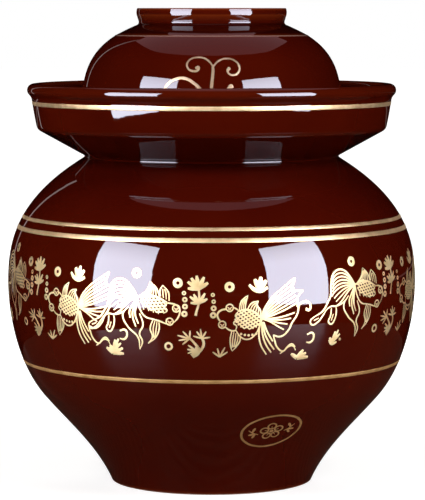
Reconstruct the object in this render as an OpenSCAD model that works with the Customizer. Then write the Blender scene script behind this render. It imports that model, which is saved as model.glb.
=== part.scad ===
// Water-seal fermentation crock of glazed stoneware: a bellied jar with a moat
// round its neck, a bowl-shaped lid that stands in the moat, a loose inner lid
// and two half-moon pressing stones. Millimetres, +Z up, the origin at the
// centre of the foot, the front towards -Y. Every round piece is a turned
// outline of [radius, height] points.

/* [Jar] */
// Outer diameter of the foot
foot_d = 127.5; // [110:0.5:150]
// Height at which the lower wall stops flaring and starts to round
turn_h = 56; // [44:0.5:68]
// Outer diameter at that turn
turn_d = 214.5; // [190:0.5:235]
// Height of the widest point of the belly
belly_h = 127.5; // [110:0.5:140]
// Outer diameter of the belly
belly_d = 259; // [240:0.5:290]
// Height of the throat, the crease under the moat
throat_h = 206.8; // [195:0.2:230]
// Outer diameter of the throat
throat_d = 159.4; // [145:0.2:175]
// Thickness of the jar's wall
wall = 8; // [6:0.5:11]
// Thickness of the jar's floor
floor_t = 10; // [7:0.5:14]
// Depth of the recess inside the foot ring
foot_recess = 3; // [1.5:0.5:5]
// Width of the foot ring
foot_ring_w = 10; // [7:0.5:14]

/* [Mouth] */
// Inner diameter of the mouth
mouth_d = 108; // [95:0.5:120]
// Thickness of the neck's wall
neck_wall = 7; // [5.5:0.5:9]
// Height of the neck over the moat's floor
neck_h = 34; // [28:0.5:40]

/* [Moat] */
// Thickness of the clay between the throat and the moat's floor
moat_floor_t = 9.2; // [7.6:0.2:12]
// Depth of the moat, from its rim to its floor
moat_depth = 36.5; // [30:0.5:44]
// Thickness of the moat's wall
moat_wall = 6; // [4.5:0.5:8]
// Rise of the moat's underside from the throat to its outer corner
moat_rise = 17; // [13:0.5:21]
// How far the moat's wall leans out from its lower corner to its rim
moat_lean = 3.3; // [1.5:0.1:5]
// Gap for pouring, between the lid and the moat's wall
pour_gap = 25.3; // [20:0.1:32]
// Diameter of the rolled lip's bead
lip_roll_d = 8; // [6:0.5:10]
// How far the lip stands out past the moat's wall
lip_out = 2.9; // [1.5:0.1:3.5]

/* [Lid] */
// Gap between the neck and the lid's wall
lid_gap = 16; // [11:0.5:21]
// Thickness of the lid's wall
lid_wall = 5.5; // [4.5:0.5:7.5]
// Height of the lid's upright skirt, from the moat's floor
skirt_h = 18; // [12:0.5:22]
// Room between the inner lid's knob and the lid's ceiling
headroom = 11.5; // [7:0.5:16]
// Thickness of the lid's crown
crown_t = 7; // [5.5:0.5:9]
// Outer diameter of the ring that serves as the lid's handle
ring_d = 94.8; // [80:0.2:105]
// Height of the ring over the dome
ring_h = 10; // [8:0.5:13]
// Depth of the recess inside the ring
ring_depth = 7.5; // [6:0.5:9]
// Thickness of the ring
ring_w = 6.5; // [6:0.5:8]
// How much narrower the ring is at its root than at its bead, at each side
ring_flare = 1.4; // [0.8:0.1:2]
// Diameter of the bead round the ring's top
ring_roll_d = 5.6; // [4.4:0.2:6.8]

/* [Inner lid] */
// Thickness of the inner lid's plate
plate_t = 6; // [5:0.5:8]
// Depth of the flange that centres the inner lid in the mouth
flange_h = 6; // [4.5:0.5:8]
// Thickness of that flange
flange_wall = 6; // [4.5:0.5:8]
// Clearance all round between the flange and the mouth
flange_clearance = 1.5; // [1:0.1:2.5]
// Height of the knob
knob_h = 18; // [15:0.5:22]
// Diameter of the knob's head
knob_d = 25; // [21:0.5:30]
// Height of the knob's head
knob_head_h = 10; // [8.5:0.5:12]
// Diameter of the knob's neck
knob_neck_d = 15; // [12:0.5:18]

/* [Pressing stones] */
// Thickness of the stones
stone_t = 22; // [16:0.5:28]
// Clearance all round between the pair of stones and the mouth
stone_clearance = 5; // [3:0.5:8]
// Gap between the two stones
stone_gap = 4; // [2:0.5:7]
// Diameter of the round grip cut into both straight edges
grip_d = 30; // [24:0.5:36]

/* [Gilt lines] */
// From the moat's rim down to the middle of its band
moat_gilt_drop = 12.1; // [9:0.1:15]
// Width of the band on the moat
moat_gilt_w = 3; // [2:0.1:4]
// From the throat down to the middle of the shoulder's upper line
upper_gilt_drop = 37.5; // [28:0.5:44]
// Width of the shoulder's upper line
upper_gilt_w = 2; // [1.2:0.1:3]
// From the shoulder's upper line to its lower line, middle to middle
gilt_pitch = 6.4; // [4:0.1:10]
// Width of the shoulder's lower line
lower_gilt_w = 2.6; // [1.4:0.1:3.4]
// From the belly's widest point down to the middle of the line under it
belly_gilt_drop = 49.2; // [36:0.1:60]
// Width of the line under the belly
belly_gilt_w = 2.2; // [1.2:0.1:3]
// Thickness of the gilding
gilt_t = 0.2; // [0.1:0.05:0.3]

/* [Hidden] */
$fn = 180;

// Steps along one stretch of a curved wall, and round one softened edge
curve_steps = 20;
edge_steps = 8;
// One overrun for every cut
overrun = 1;

// Outward lean of the wall for each unit of height, at the foot, the turn and the throat
foot_slope_share = 0.44;
turn_slope_share = 0.85;
throat_slope_share = 1.67;
// How far each end steers its stretch of wall, as shares of the stretch's height
foot_steer_share = 0.406;
turn_steer_shares = [0.305, 0.273];
belly_steer_shares = [0.283, 0.318];
throat_steer_share = 0.336;
// The same for the lid's dome: its slope at the ring, and both ends' steer
crown_slope_share = 2.68;
dome_steer_shares = [0.457, 0.213];

// Softened edges of the jar
foot_edge = 1;
floor_round = 8;
neck_foot_round = 8;
neck_lip_round = 2;
neck_root_round = 4;
throat_round = 1;
moat_corner_round = 5;
moat_inner_round = 8;
moat_step_round = 3;
lip_inner_round = 3;
// Clay between the moat's outer and inner corners, measured upright
moat_corner_t = 4;
// Flat floor that the moat keeps outside the lid's rim
seat_margin = 1.5;

// Hair's breadth between a wall and its gilding, so that the two curved faces never cross
gilt_gap = 0.02;

// Softened edges of the lid
rim_edge = 1.5;
ring_root_round = 2.5;
ring_inner_round = 2.5;
recess_round = 3;
ceiling_round = 8;

// Softened edges of the inner lid
plate_edge = 2;
flange_edge = 1;
flange_root_round = 2;
knob_root_round = 3;
knob_under_round = 1.2;
knob_top_round = 4;

// Softened edges of the pressing stones
stone_edge = 4;

// The chain of sizes from the mouth out to the moat's rim
mouth_r = mouth_d / 2;
neck_r = mouth_r + neck_wall;
lid_in_r = neck_r + lid_gap;
lid_r = lid_in_r + lid_wall;
moat_in_r = lid_r + pour_gap;
moat_r = moat_in_r + moat_wall;

// The chain of heights from the foot up to the top of the lid
floor_z = foot_recess + floor_t;
moat_floor_z = throat_h + moat_floor_t;
rim_z = moat_floor_z + moat_depth;
neck_top_z = moat_floor_z + neck_h;
plate_top_z = neck_top_z + plate_t;
knob_top_z = plate_top_z + knob_h;
ceiling_z = knob_top_z + headroom;
recess_z = ceiling_z + crown_t;
lid_top_z = recess_z + ring_depth;
ring_root_z = lid_top_z - ring_h;

// Arithmetic of outlines
function unit(v) = v / norm(v);
function mix(a, b, t) = a + (b - a) * t;

// The point at share t of the curve that runs from the first to the last of these points
function curve_point(p, t) =
    len(p) == 1 ? p[0] : curve_point([for (i = [1 : len(p) - 1]) mix(p[i - 1], p[i], t)], t);

// The curve's points after its first one
function curve(p) = [for (k = [1 : curve_steps]) curve_point(p, k / curve_steps)];

// An arc round a centre, from one angle to another
function arc(middle, r, from, to) =
    [for (k = [0 : edge_steps]) let (a = mix(from, to, k / edge_steps)) middle + r * [cos(a), sin(a)]];

// The arc of radius r that softens the corner b between its neighbours a and c
function corner_arc(a, b, c, r) =
    let (u = unit(a - b), v = unit(c - b), half = acos(u * v) / 2,
         middle = b + unit(u + v) * r / sin(half),
         from = b + u * r / tan(half) - middle, to = b + v * r / tan(half) - middle,
         sweep = acos(unit(from) * unit(to)))
    [for (k = [0 : edge_steps]) let (t = k / edge_steps)
        middle + (from * sin((1 - t) * sweep) + to * sin(t * sweep)) / sin(sweep)];

// A closed outline in which a third number at a corner is the radius that softens it
function flat(p) = [p[0], p[1]];
function soften(points) =
    let (n = len(points))
    [for (i = [0 : n - 1]) let (p = points[i])
        each len(p) == 2 ? [p]
            : corner_arc(flat(points[(i + n - 1) % n]), flat(p), flat(points[(i + 1) % n]), p[2])];

// A rising wall set in by t, square to itself, without its two end points
function inset(side, t) =
    [for (i = [1 : len(side) - 2]) let (d = unit(side[i + 1] - side[i - 1])) side[i] + t * [-d[1], d[0]]];

// The radius of a rising wall at a height, and the stretch of wall between two heights
function radius_at(side, z) = lookup(z, [for (p = side) [p[1], p[0]]]);
function stretch(side, low, high) =
    concat([[radius_at(side, low), low]],
           [for (p = side) if (p[1] > low && p[1] < high) p],
           [[radius_at(side, high), high]]);

// A list of points in reverse
function backwards(p) = [for (i = [len(p) - 1 : -1 : 0]) p[i]];

// The jar's outer wall, from the foot up to the throat
foot = [foot_d / 2, 0];
turn = [turn_d / 2, turn_h];
belly = [belly_d / 2, belly_h];
throat = [throat_d / 2, throat_h];
function lean(slope, h) = [slope * h, h];
foot_steer = lean(foot_slope_share, foot_steer_share * turn_h);
turn_steer_down = lean(turn_slope_share, turn_steer_shares[0] * turn_h);
turn_steer_up = lean(turn_slope_share, turn_steer_shares[1] * (belly_h - turn_h));
belly_steer_down = [0, belly_steer_shares[0] * (belly_h - turn_h)];
belly_steer_up = [0, belly_steer_shares[1] * (throat_h - belly_h)];
throat_steer = lean(-throat_slope_share, throat_steer_share * (throat_h - belly_h));
lower_wall = curve([foot, foot + foot_steer, turn - turn_steer_down, turn]);
middle_wall = curve([turn, turn + turn_steer_up, belly - belly_steer_down, belly]);
upper_wall = curve([belly, belly + belly_steer_up, throat - throat_steer, throat]);
jar_side = concat([foot], lower_wall, middle_wall, upper_wall);

// The jar's inner wall, and the corner at which it runs into the neck's bore
inner_side = inset(jar_side, wall);
throat_rise = unit(lean(-throat_slope_share, 1));
inner_throat = throat + wall * [-throat_rise[1], throat_rise[0]];
neck_foot = [mouth_r, inner_throat[1] + (inner_throat[0] - mouth_r) / throat_slope_share];

// The moat's straight outer wall, up to where its rolled lip begins
lip_r = lip_roll_d / 2;
lip_middle = [moat_r + lip_out - lip_r, rim_z - lip_r];
lip_from = -acos((lip_r - lip_out) / lip_r);
moat_corner = [moat_r - moat_lean, throat_h + moat_rise];
moat_side = [moat_corner, [moat_r, lip_middle[1] + lip_r * sin(lip_from)]];

// The lid's outer wall, from its rim up to the root of its ring
ring_r = ring_d / 2;
ring_root = [ring_r - ring_flare, ring_root_z];
skirt_top = [lid_r, moat_floor_z + skirt_h];
dome_rise = ring_root_z - skirt_top[1];
dome = concat([skirt_top], curve([skirt_top, skirt_top + [0, dome_steer_shares[0] * dome_rise],
    ring_root - lean(-crown_slope_share, dome_steer_shares[1] * dome_rise), ring_root]));
inner_dome = inset(dome, lid_wall);
ring_roll_r = ring_roll_d / 2;
ring_roll_from = -20;

// Turns an outline about the axis
module turned(outline) {
    rotate_extrude() polygon(outline);
}

// Foot, belly, shoulder, neck and moat, fired as one piece
module jar() {
    color([0.26, 0.05, 0.025]) turned(soften(concat(
        [[0, foot_recess],
         [foot[0] - foot_ring_w, foot_recess, foot_edge],
         [foot[0] - foot_ring_w, 0, foot_edge],
         [foot[0], 0, foot_edge]],
        [for (i = [1 : len(jar_side) - 2]) jar_side[i]],
        [[throat[0], throat[1], throat_round],
         [moat_corner[0], moat_corner[1], moat_corner_round]],
        arc(lip_middle, lip_r, lip_from, 90),
        arc([moat_in_r + lip_inner_round, rim_z - lip_inner_round], lip_inner_round, 90, 180),
        [[moat_corner[0] - moat_wall, moat_corner[1] + moat_corner_t, moat_inner_round],
         [lid_r + seat_margin, moat_floor_z, moat_step_round],
         [neck_r, moat_floor_z, neck_root_round],
         [neck_r, neck_top_z, neck_lip_round],
         [mouth_r, neck_top_z, neck_lip_round],
         [neck_foot[0], neck_foot[1], neck_foot_round]],
        backwards([for (p = inner_side) if (p[1] > floor_z + floor_round) p]),
        [[radius_at(inner_side, floor_z), floor_z, floor_round],
         [0, floor_z]])));
}

// A ring of gilding fired on to a wall, centred on a height
module gilt_line(side, middle, width) {
    wall_line = stretch(side, middle - width / 2, middle + width / 2);
    color([0.85, 0.65, 0.3])
        turned(concat([for (p = wall_line) p + [gilt_gap + gilt_t, 0]],
                      backwards([for (p = wall_line) p + [gilt_gap, 0]])));
}

module moat_gilt_band() gilt_line(moat_side, rim_z - moat_gilt_drop, moat_gilt_w);
module shoulder_gilt_line_upper() gilt_line(jar_side, throat_h - upper_gilt_drop, upper_gilt_w);
module shoulder_gilt_line_lower()
    gilt_line(jar_side, throat_h - upper_gilt_drop - gilt_pitch, lower_gilt_w);
module belly_gilt_line() gilt_line(jar_side, belly_h - belly_gilt_drop, belly_gilt_w);

// Bowl turned upside down, with a foot ring on its crown that serves as the handle
module lid() {
    color([0.27, 0.05, 0.025]) turned(soften(concat(
        [[lid_in_r, moat_floor_z, rim_edge],
         [lid_r, moat_floor_z, rim_edge]],
        [for (i = [0 : len(dome) - 2]) dome[i]],
        [[ring_root[0], ring_root[1], ring_root_round]],
        arc([ring_r - ring_roll_r, lid_top_z - ring_roll_r], ring_roll_r, ring_roll_from, 90),
        arc([ring_r - ring_w + ring_inner_round, lid_top_z - ring_inner_round], ring_inner_round, 90, 180),
        [[ring_r - ring_w, recess_z, recess_round],
         [0, recess_z],
         [0, ceiling_z],
         [radius_at(inner_dome, ceiling_z), ceiling_z, ceiling_round]],
        backwards([for (p = inner_dome) if (p[1] < ceiling_z - ceiling_round) p]))));
}

// Flat disc that covers the mouth, with a flange to centre it and a knob to lift it
module inner_lid() {
    flange_r = mouth_r - flange_clearance;
    flange_z = neck_top_z - flange_h;
    knob_under_z = knob_top_z - knob_head_h;
    color([0.33, 0.1, 0.05]) turned(soften([
        [0, neck_top_z],
        [flange_r - flange_wall, neck_top_z, flange_root_round],
        [flange_r - flange_wall, flange_z, flange_edge],
        [flange_r, flange_z, flange_edge],
        [flange_r, neck_top_z],
        [neck_r, neck_top_z, flange_edge],
        [neck_r, plate_top_z, plate_edge],
        [knob_neck_d / 2, plate_top_z, knob_root_round],
        [knob_neck_d / 2, knob_under_z, knob_under_round],
        [knob_d / 2, knob_under_z, knob_top_round],
        [knob_d / 2, knob_top_z, knob_top_round],
        [0, knob_top_z]]));
}

// One half of a round stone, with half of the round grip, on the side of +X
module pressing_stone() {
    stone_r = mouth_r - stone_clearance;
    top_z = floor_z + stone_t;
    color([0.72, 0.62, 0.5]) difference() {
        turned(soften([[0, floor_z], [stone_r, floor_z, stone_edge], [stone_r, top_z, stone_edge], [0, top_z]]));
        translate([-stone_r - overrun, -stone_r - overrun, floor_z - overrun])
            cube([stone_r + overrun + stone_gap / 2, 2 * (stone_r + overrun), stone_t + 2 * overrun]);
        translate([0, 0, floor_z - overrun]) cylinder(h = stone_t + 2 * overrun, d = grip_d);
    }
}

module weight_right() pressing_stone();
module weight_left() mirror([1, 0, 0]) pressing_stone();

jar();
moat_gilt_band();
shoulder_gilt_line_upper();
shoulder_gilt_line_lower();
belly_gilt_line();
lid();
inner_lid();
weight_left();
weight_right();
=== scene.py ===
"""Water-seal fermentation crock: glaze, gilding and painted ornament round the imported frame.

Outlines and ornament are drawn in millimetres, azimuth 0 is the front, and meshes are in metres.
"""

import logging
import math
from collections.abc import Callable, Sequence
from dataclasses import dataclass
from enum import Enum

import bmesh
import bpy
from mathutils import Matrix, Vector


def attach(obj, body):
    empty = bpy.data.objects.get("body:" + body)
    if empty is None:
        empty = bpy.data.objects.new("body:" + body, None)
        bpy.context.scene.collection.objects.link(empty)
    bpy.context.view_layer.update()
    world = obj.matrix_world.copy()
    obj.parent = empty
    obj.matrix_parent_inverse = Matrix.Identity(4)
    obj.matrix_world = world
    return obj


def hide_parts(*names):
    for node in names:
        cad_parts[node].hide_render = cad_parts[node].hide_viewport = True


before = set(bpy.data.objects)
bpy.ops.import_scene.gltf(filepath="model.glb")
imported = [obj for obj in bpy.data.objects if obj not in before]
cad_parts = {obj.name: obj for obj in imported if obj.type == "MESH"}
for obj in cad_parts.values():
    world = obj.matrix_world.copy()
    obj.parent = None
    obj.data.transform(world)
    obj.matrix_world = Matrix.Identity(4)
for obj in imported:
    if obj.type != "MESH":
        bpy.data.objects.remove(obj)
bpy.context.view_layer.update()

log = logging.getLogger("crock")

MM = 0.001
CURVE_STEPS = 28
EDGE_STEPS = 8
SPIN_STEPS = 256
# Runs longer than this are straight walls, and their shading is held this far from their ends
STRAIGHT_RUN = 3.2
HOLD = 0.3
# Edges that turn more than this stay crisp under smooth shading
CRISP_EDGE = math.radians(38)
# How far the glaze thins on either side of a tight bend
BREAK_REACH = 0.9
# The glazed surface lies this far inside the frame's, so that the gilding on it keeps to the frame's box
SKIN = 0.12
# The middle of a noise's range, and the period in metres of Blender's waves at a scale of 1
NOISE_MIDDLE = (0.3, 0.7)
WAVE_PERIOD = 0.314
# Where along its length a painted leaf is widest
LEAF_BELLY = 0.62

Outline = list[Vector]
Place = tuple[float, float]
Material = bpy.types.Material
Tree = bpy.types.NodeTree
Socket = bpy.types.NodeSocket
# What an input takes: a value, or the socket that feeds it
Input = Socket | float | tuple[float, ...]


class Body(Enum):
    """The frame's bodies."""

    JAR = "jar"
    LID = "lid"
    INNER_LID = "inner_lid"
    LEFT_STONE = "weight_left"
    RIGHT_STONE = "weight_right"


class Slot(Enum):
    """The material slots."""

    GLAZE = "red_brown_glaze"
    GILDING = "gilding"
    INNER_GLAZE = "inner_lid_glaze"
    STONE = "pressing_stone"


def linear(colour: str) -> tuple[float, float, float, float]:
    """Turns an sRGB colour such as "#3F0A05" to linear values.

    Args:
        colour: the colour as a hex string.

    Returns:
        Red, green, blue and an alpha of 1.
    """
    parts = [int(colour[i : i + 2], 16) / 255 for i in (1, 3, 5)]
    red, green, blue = (p / 12.92 if p <= 0.04045 else ((p + 0.055) / 1.055) ** 2.4 for p in parts)
    return red, green, blue, 1.0


def add_node(tree: Tree, kind: str, links: dict | None = None, **settings: str | bool) -> bpy.types.Node:
    """Adds a shader node.

    Args:
        tree: the node tree.
        kind: the node's type name.
        links: input sockets by name or number, each with a value or with the socket that feeds it.
        settings: properties of the node.

    Returns:
        The new node.
    """
    node = tree.nodes.new(kind)
    for name, value in settings.items():
        setattr(node, name, value)
    for name, value in (links or {}).items():
        if isinstance(value, Socket):
            tree.links.new(value, node.inputs[name])
        else:
            node.inputs[name].default_value = value
    return node


def new_material(name: str) -> tuple[Material, Tree]:
    """Makes an empty node material, and returns it with its tree.

    Args:
        name: the material's name.

    Returns:
        The material and its node tree.
    """
    material = bpy.data.materials.new(name)
    material.use_nodes = True
    material.node_tree.nodes.clear()
    return material, material.node_tree


def object_place(tree: Tree) -> Socket:
    """Adds the Object coordinates, and returns their socket."""
    return add_node(tree, "ShaderNodeTexCoord").outputs["Object"]


def noise(tree: Tree, size: float, detail: float = 2.0) -> Socket:
    """Adds a noise on Object coordinates.

    Args:
        tree: the node tree.
        size: the size of one patch in millimetres.
        detail: how many finer layers it has.

    Returns:
        The noise's value socket.
    """
    links = {"Vector": object_place(tree), "Scale": 1 / (size * MM), "Detail": detail}
    return add_node(tree, "ShaderNodeTexNoise", links).outputs["Fac"]


def waves(tree: Tree, place: Socket, period: float, links: dict, **settings: str) -> Socket:
    """Adds soft waves with a period in metres, and returns their value's socket."""
    links = {"Vector": place, "Scale": WAVE_PERIOD / period, "Detail": 1.0} | links
    return add_node(tree, "ShaderNodeTexWave", links, **settings).outputs["Fac"]


def ramp(tree: Tree, value: Socket, start: Place, end: Place) -> Socket:
    """Maps a value from one range to another and keeps it there, and returns the socket."""
    links = {"Value": value, "From Min": start[0], "From Max": start[1], "To Min": end[0], "To Max": end[1]}
    return add_node(tree, "ShaderNodeMapRange", links).outputs["Result"]


def spread(tree: Tree, value: Socket, low: float, high: float) -> Socket:
    """Maps the middle of a noise's range to low and high, and returns the socket."""
    return ramp(tree, value, NOISE_MIDDLE, (low, high))


def calculate(tree: Tree, operation: str, first: Input, second: Input, clamp: bool = False) -> Socket:
    """Adds a sum or product of two values or sockets, and returns its socket."""
    return add_node(tree, "ShaderNodeMath", {0: first, 1: second}, operation=operation, use_clamp=clamp).outputs[0]


def bump(tree: Tree, height: Socket, depth: float, links: dict | None = None) -> Socket:
    """Bumps a surface by a height map of a depth in millimetres, and returns the normal's socket."""
    links = {"Height": height, "Strength": 1.0, "Distance": depth * MM} | (links or {})
    return add_node(tree, "ShaderNodeBump", links).outputs["Normal"]


def blend(tree: Tree, share: Socket, first: Input, second: Input) -> Socket:
    """Mixes two colours, each a value or a socket, and returns the mixed colour's socket."""
    links = {"Factor": share, 6: first, 7: second}
    return add_node(tree, "ShaderNodeMix", links, data_type="RGBA").outputs[2]


def close_material(tree: Tree, surface: dict) -> None:
    """Adds a Principled shader with these inputs, and the output."""
    shader = add_node(tree, "ShaderNodeBsdfPrincipled", surface)
    add_node(tree, "ShaderNodeOutputMaterial", {"Surface": shader.outputs["BSDF"]})


@dataclass(frozen=True)
class Glaze:
    """Iron-red stoneware glaze, dipped and fired: a clear deep gloss that breaks lighter over edges."""

    name: str
    # Faces that point up get the darker colour, partly as painted shade; the darkest colour is pooled glaze with
    # painted shade, and painted shade alone under the moat's overhang
    thick_and_shaded: str = "#3E0702"
    thin: str = "#5A1303"
    breaking: str = "#7C2E10"
    pooled_and_shaded: str = "#1E0301"
    cloud_mm: float = 60.0
    turning_mm: float = 9.0
    peel_mm: float = 6.0
    turning_depth_mm: float = 0.012
    peel_depth_mm: float = 0.016
    # From flat to upright faces, and how much of the thinner, lighter colour each gets: glaze settles thicker on
    # faces that point up, and their darker colour there is partly painted shade
    upward: Place = (0.9, 0.1)
    thinness_and_shade: Place = (0.1, 0.75)
    cloudiness: float = 0.15

    def build(self) -> Material:
        """Makes the material.

        Returns:
            The material.
        """
        material, tree = new_material(self.name)
        # The glaze settles on what faces up and is thicker there; its darker colour on these tops is partly painted
        # shade
        normal = add_node(tree, "ShaderNodeNewGeometry").outputs["Normal"]
        facing = add_node(tree, "ShaderNodeSeparateXYZ", {"Vector": normal}).outputs["Z"]
        run = ramp(tree, facing, self.upward, self.thinness_and_shade)
        clouds = spread(tree, noise(tree, self.cloud_mm), -self.cloudiness, self.cloudiness)
        body = blend(tree, calculate(tree, "ADD", run, clouds, clamp=True), linear(self.thick_and_shaded), linear(self.thin))
        edge = add_node(tree, "ShaderNodeAttribute", attribute_name="glaze_break").outputs["Fac"]
        pool_and_shade = add_node(tree, "ShaderNodeAttribute", attribute_name="glaze_pool_and_shade").outputs["Fac"]
        # The darkest colour is pooled glaze with painted shade, by the point's attribute
        colour = blend(tree, pool_and_shade, blend(tree, edge, body, linear(self.breaking)), linear(self.pooled_and_shaded))
        # Soft rings left by the wheel, and the faint orange peel of a thick glaze
        rings = waves(tree, object_place(tree), self.turning_mm * MM, {"Distortion": 1.5}, bands_direction="Z")
        turned_normal = bump(tree, rings, self.turning_depth_mm)
        peeled = bump(tree, noise(tree, self.peel_mm), self.peel_depth_mm, {"Normal": turned_normal})
        close_material(
            tree,
            {
                "Base Color": colour,
                "Roughness": spread(tree, noise(tree, self.peel_mm), 0.3, 0.45),
                "Specular IOR Level": 0.0,
                "Normal": peeled,
                "Coat Weight": 1.0,
                "Coat Roughness": 0.02,
                "Coat IOR": 1.55,
                "Coat Normal": peeled,
            },
        )
        return material


@dataclass(frozen=True)
class Gilding:
    """Bright gold fired on to the glaze: a thin metal skin with a satin shine, a little uneven in thickness."""

    name: str
    full: str = "#F4D19C"
    lean: str = "#E0B884"
    patch_mm: float = 6.0
    roughness: Place = (0.42, 0.47)
    # The share of it that shines as metal; where the gold is thin and grainy, the rest scatters the light
    metal: float = 0.9

    def build(self) -> Material:
        """Makes the material.

        Returns:
            The material.
        """
        material, tree = new_material(self.name)
        patches = spread(tree, noise(tree, self.patch_mm, 3.0), 0, 1)
        close_material(
            tree,
            {
                "Base Color": blend(tree, patches, linear(self.lean), linear(self.full)),
                "Metallic": self.metal,
                "Roughness": spread(tree, noise(tree, self.patch_mm), *self.roughness),
            },
        )
        return material


@dataclass(frozen=True)
class BareClay:
    """Unglazed stoneware, sponged and fired: matt, grainy, with a few iron specks."""

    name: str
    pale: str = "#C8A791"
    dark: str = "#A9836B"
    speck: str = "#5E4030"
    grain_mm: float = 0.9
    patch_mm: float = 14.0
    speck_mm: float = 1.6
    grain_depth_mm: float = 0.08
    grain_strength: float = 0.6
    # The stretch of the specks' noise in which clay turns to speck
    speck_edge: Place = (0.66, 0.72)

    def build(self) -> Material:
        """Makes the material.

        Returns:
            The material.
        """
        material, tree = new_material(self.name)
        patches = spread(tree, noise(tree, self.patch_mm, 4.0), 0, 1)
        clay = blend(tree, patches, linear(self.pale), linear(self.dark))
        specks = ramp(tree, noise(tree, self.speck_mm), self.speck_edge, (0, 1))
        grain = bump(tree, noise(tree, self.grain_mm), self.grain_depth_mm, {"Strength": self.grain_strength})
        close_material(
            tree,
            {
                "Base Color": blend(tree, specks, clay, linear(self.speck)),
                "Roughness": spread(tree, noise(tree, self.grain_mm), 0.75, 0.9),
                "Specular IOR Level": 0.3,
                "Normal": grain,
            },
        )
        return material


def at(radius: float, height: float) -> Vector:
    """A point of an outline."""
    return Vector((radius, height))


def lean(slope: float, height: float) -> Vector:
    """The step of a wall that leans out by slope for each unit of height."""
    return Vector((slope * height, height))


def curve(points: Sequence[Vector], steps: int = CURVE_STEPS) -> Outline:
    """Runs a curve from the first to the last of its points.

    Args:
        points: its two ends, with the points that steer it between them.
        steps: how many points it gets.

    Returns:
        The curve's points after its first one.
    """
    found = []
    for k in range(1, steps + 1):
        level = list(points)
        while len(level) > 1:
            level = [a.lerp(b, k / steps) for a, b in zip(level, level[1:])]
        found.append(level[0])
    return found


def arc(middle: Vector, radius: float, start: float, end: float) -> Outline:
    """An arc round a middle, from one angle in degrees to another."""
    angles = [math.radians(start + (end - start) * k / EDGE_STEPS) for k in range(EDGE_STEPS + 1)]
    return [middle + radius * Vector((math.cos(a), math.sin(a))) for a in angles]


@dataclass(frozen=True)
class Corner:
    """A corner of an outline, softened by an arc."""

    radius: float
    height: float
    round: float

    def arc(self, before: Vector, after: Vector) -> Outline:
        """The arc between the straight runs to the points before and after the corner.

        Args:
            before: the outline's point before the corner.
            after: the point after it.

        Returns:
            The arc's points.
        """
        here = at(self.radius, self.height)
        back, on = (before - here).normalized(), (after - here).normalized()
        half = math.acos(back.dot(on)) / 2
        middle = here + (back + on).normalized() * self.round / math.sin(half)
        reach = self.round / math.tan(half)
        start, end = here + back * reach - middle, here + on * reach - middle
        return [middle + self.round * start.slerp(end, k / EDGE_STEPS) for k in range(EDGE_STEPS + 1)]


def soften(points: Sequence[Vector | Corner]) -> Outline:
    """Turns a closed outline's corners to arcs.

    Args:
        points: plain points and corners, in order.

    Returns:
        The outline's points.
    """
    plain = [at(p.radius, p.height) if isinstance(p, Corner) else p for p in points]
    found = []
    for i, point in enumerate(points):
        if isinstance(point, Corner):
            found += point.arc(plain[i - 1], plain[(i + 1) % len(plain)])
        else:
            found.append(point)
    return found


def hold(outline: Sequence[Vector], closed: bool) -> Outline:
    """Adds a point near both ends of each straight run, so that smooth shading leaves the run straight.

    Args:
        outline: the outline's points.
        closed: whether a run joins its last point to its first.

    Returns:
        The outline with the added points.
    """
    found = []
    for i, point in enumerate(outline):
        found.append(point)
        if i == len(outline) - 1 and not closed:
            break
        after = outline[(i + 1) % len(outline)]
        run = (after - point).length
        if run > STRAIGHT_RUN:
            found += [point.lerp(after, HOLD / run), after.lerp(point, HOLD / run)]
    return found


def inset(side: Sequence[Vector], depth: float) -> Outline:
    """Sets a rising wall in by a depth, square to itself.

    Args:
        side: the wall's points, rising.
        depth: how far it is set in.

    Returns:
        The inner wall's points.
    """
    found = []
    for i, point in enumerate(side):
        along = (side[min(i + 1, len(side) - 1)] - side[max(i - 1, 0)]).normalized()
        found.append(point + depth * Vector((-along.y, along.x)))
    return found


def radius_at(side: Sequence[Vector], height: float) -> float:
    """The radius of a rising wall at a height.

    Args:
        side: the wall's points, rising.
        height: the height.

    Returns:
        The radius.
    """
    for low, high in zip(side, side[1:]):
        if low.y <= height <= high.y:
            return low.lerp(high, (height - low.y) / max(high.y - low.y, 1e-9)).x
    return side[-1].x if height > side[-1].y else side[0].x


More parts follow.
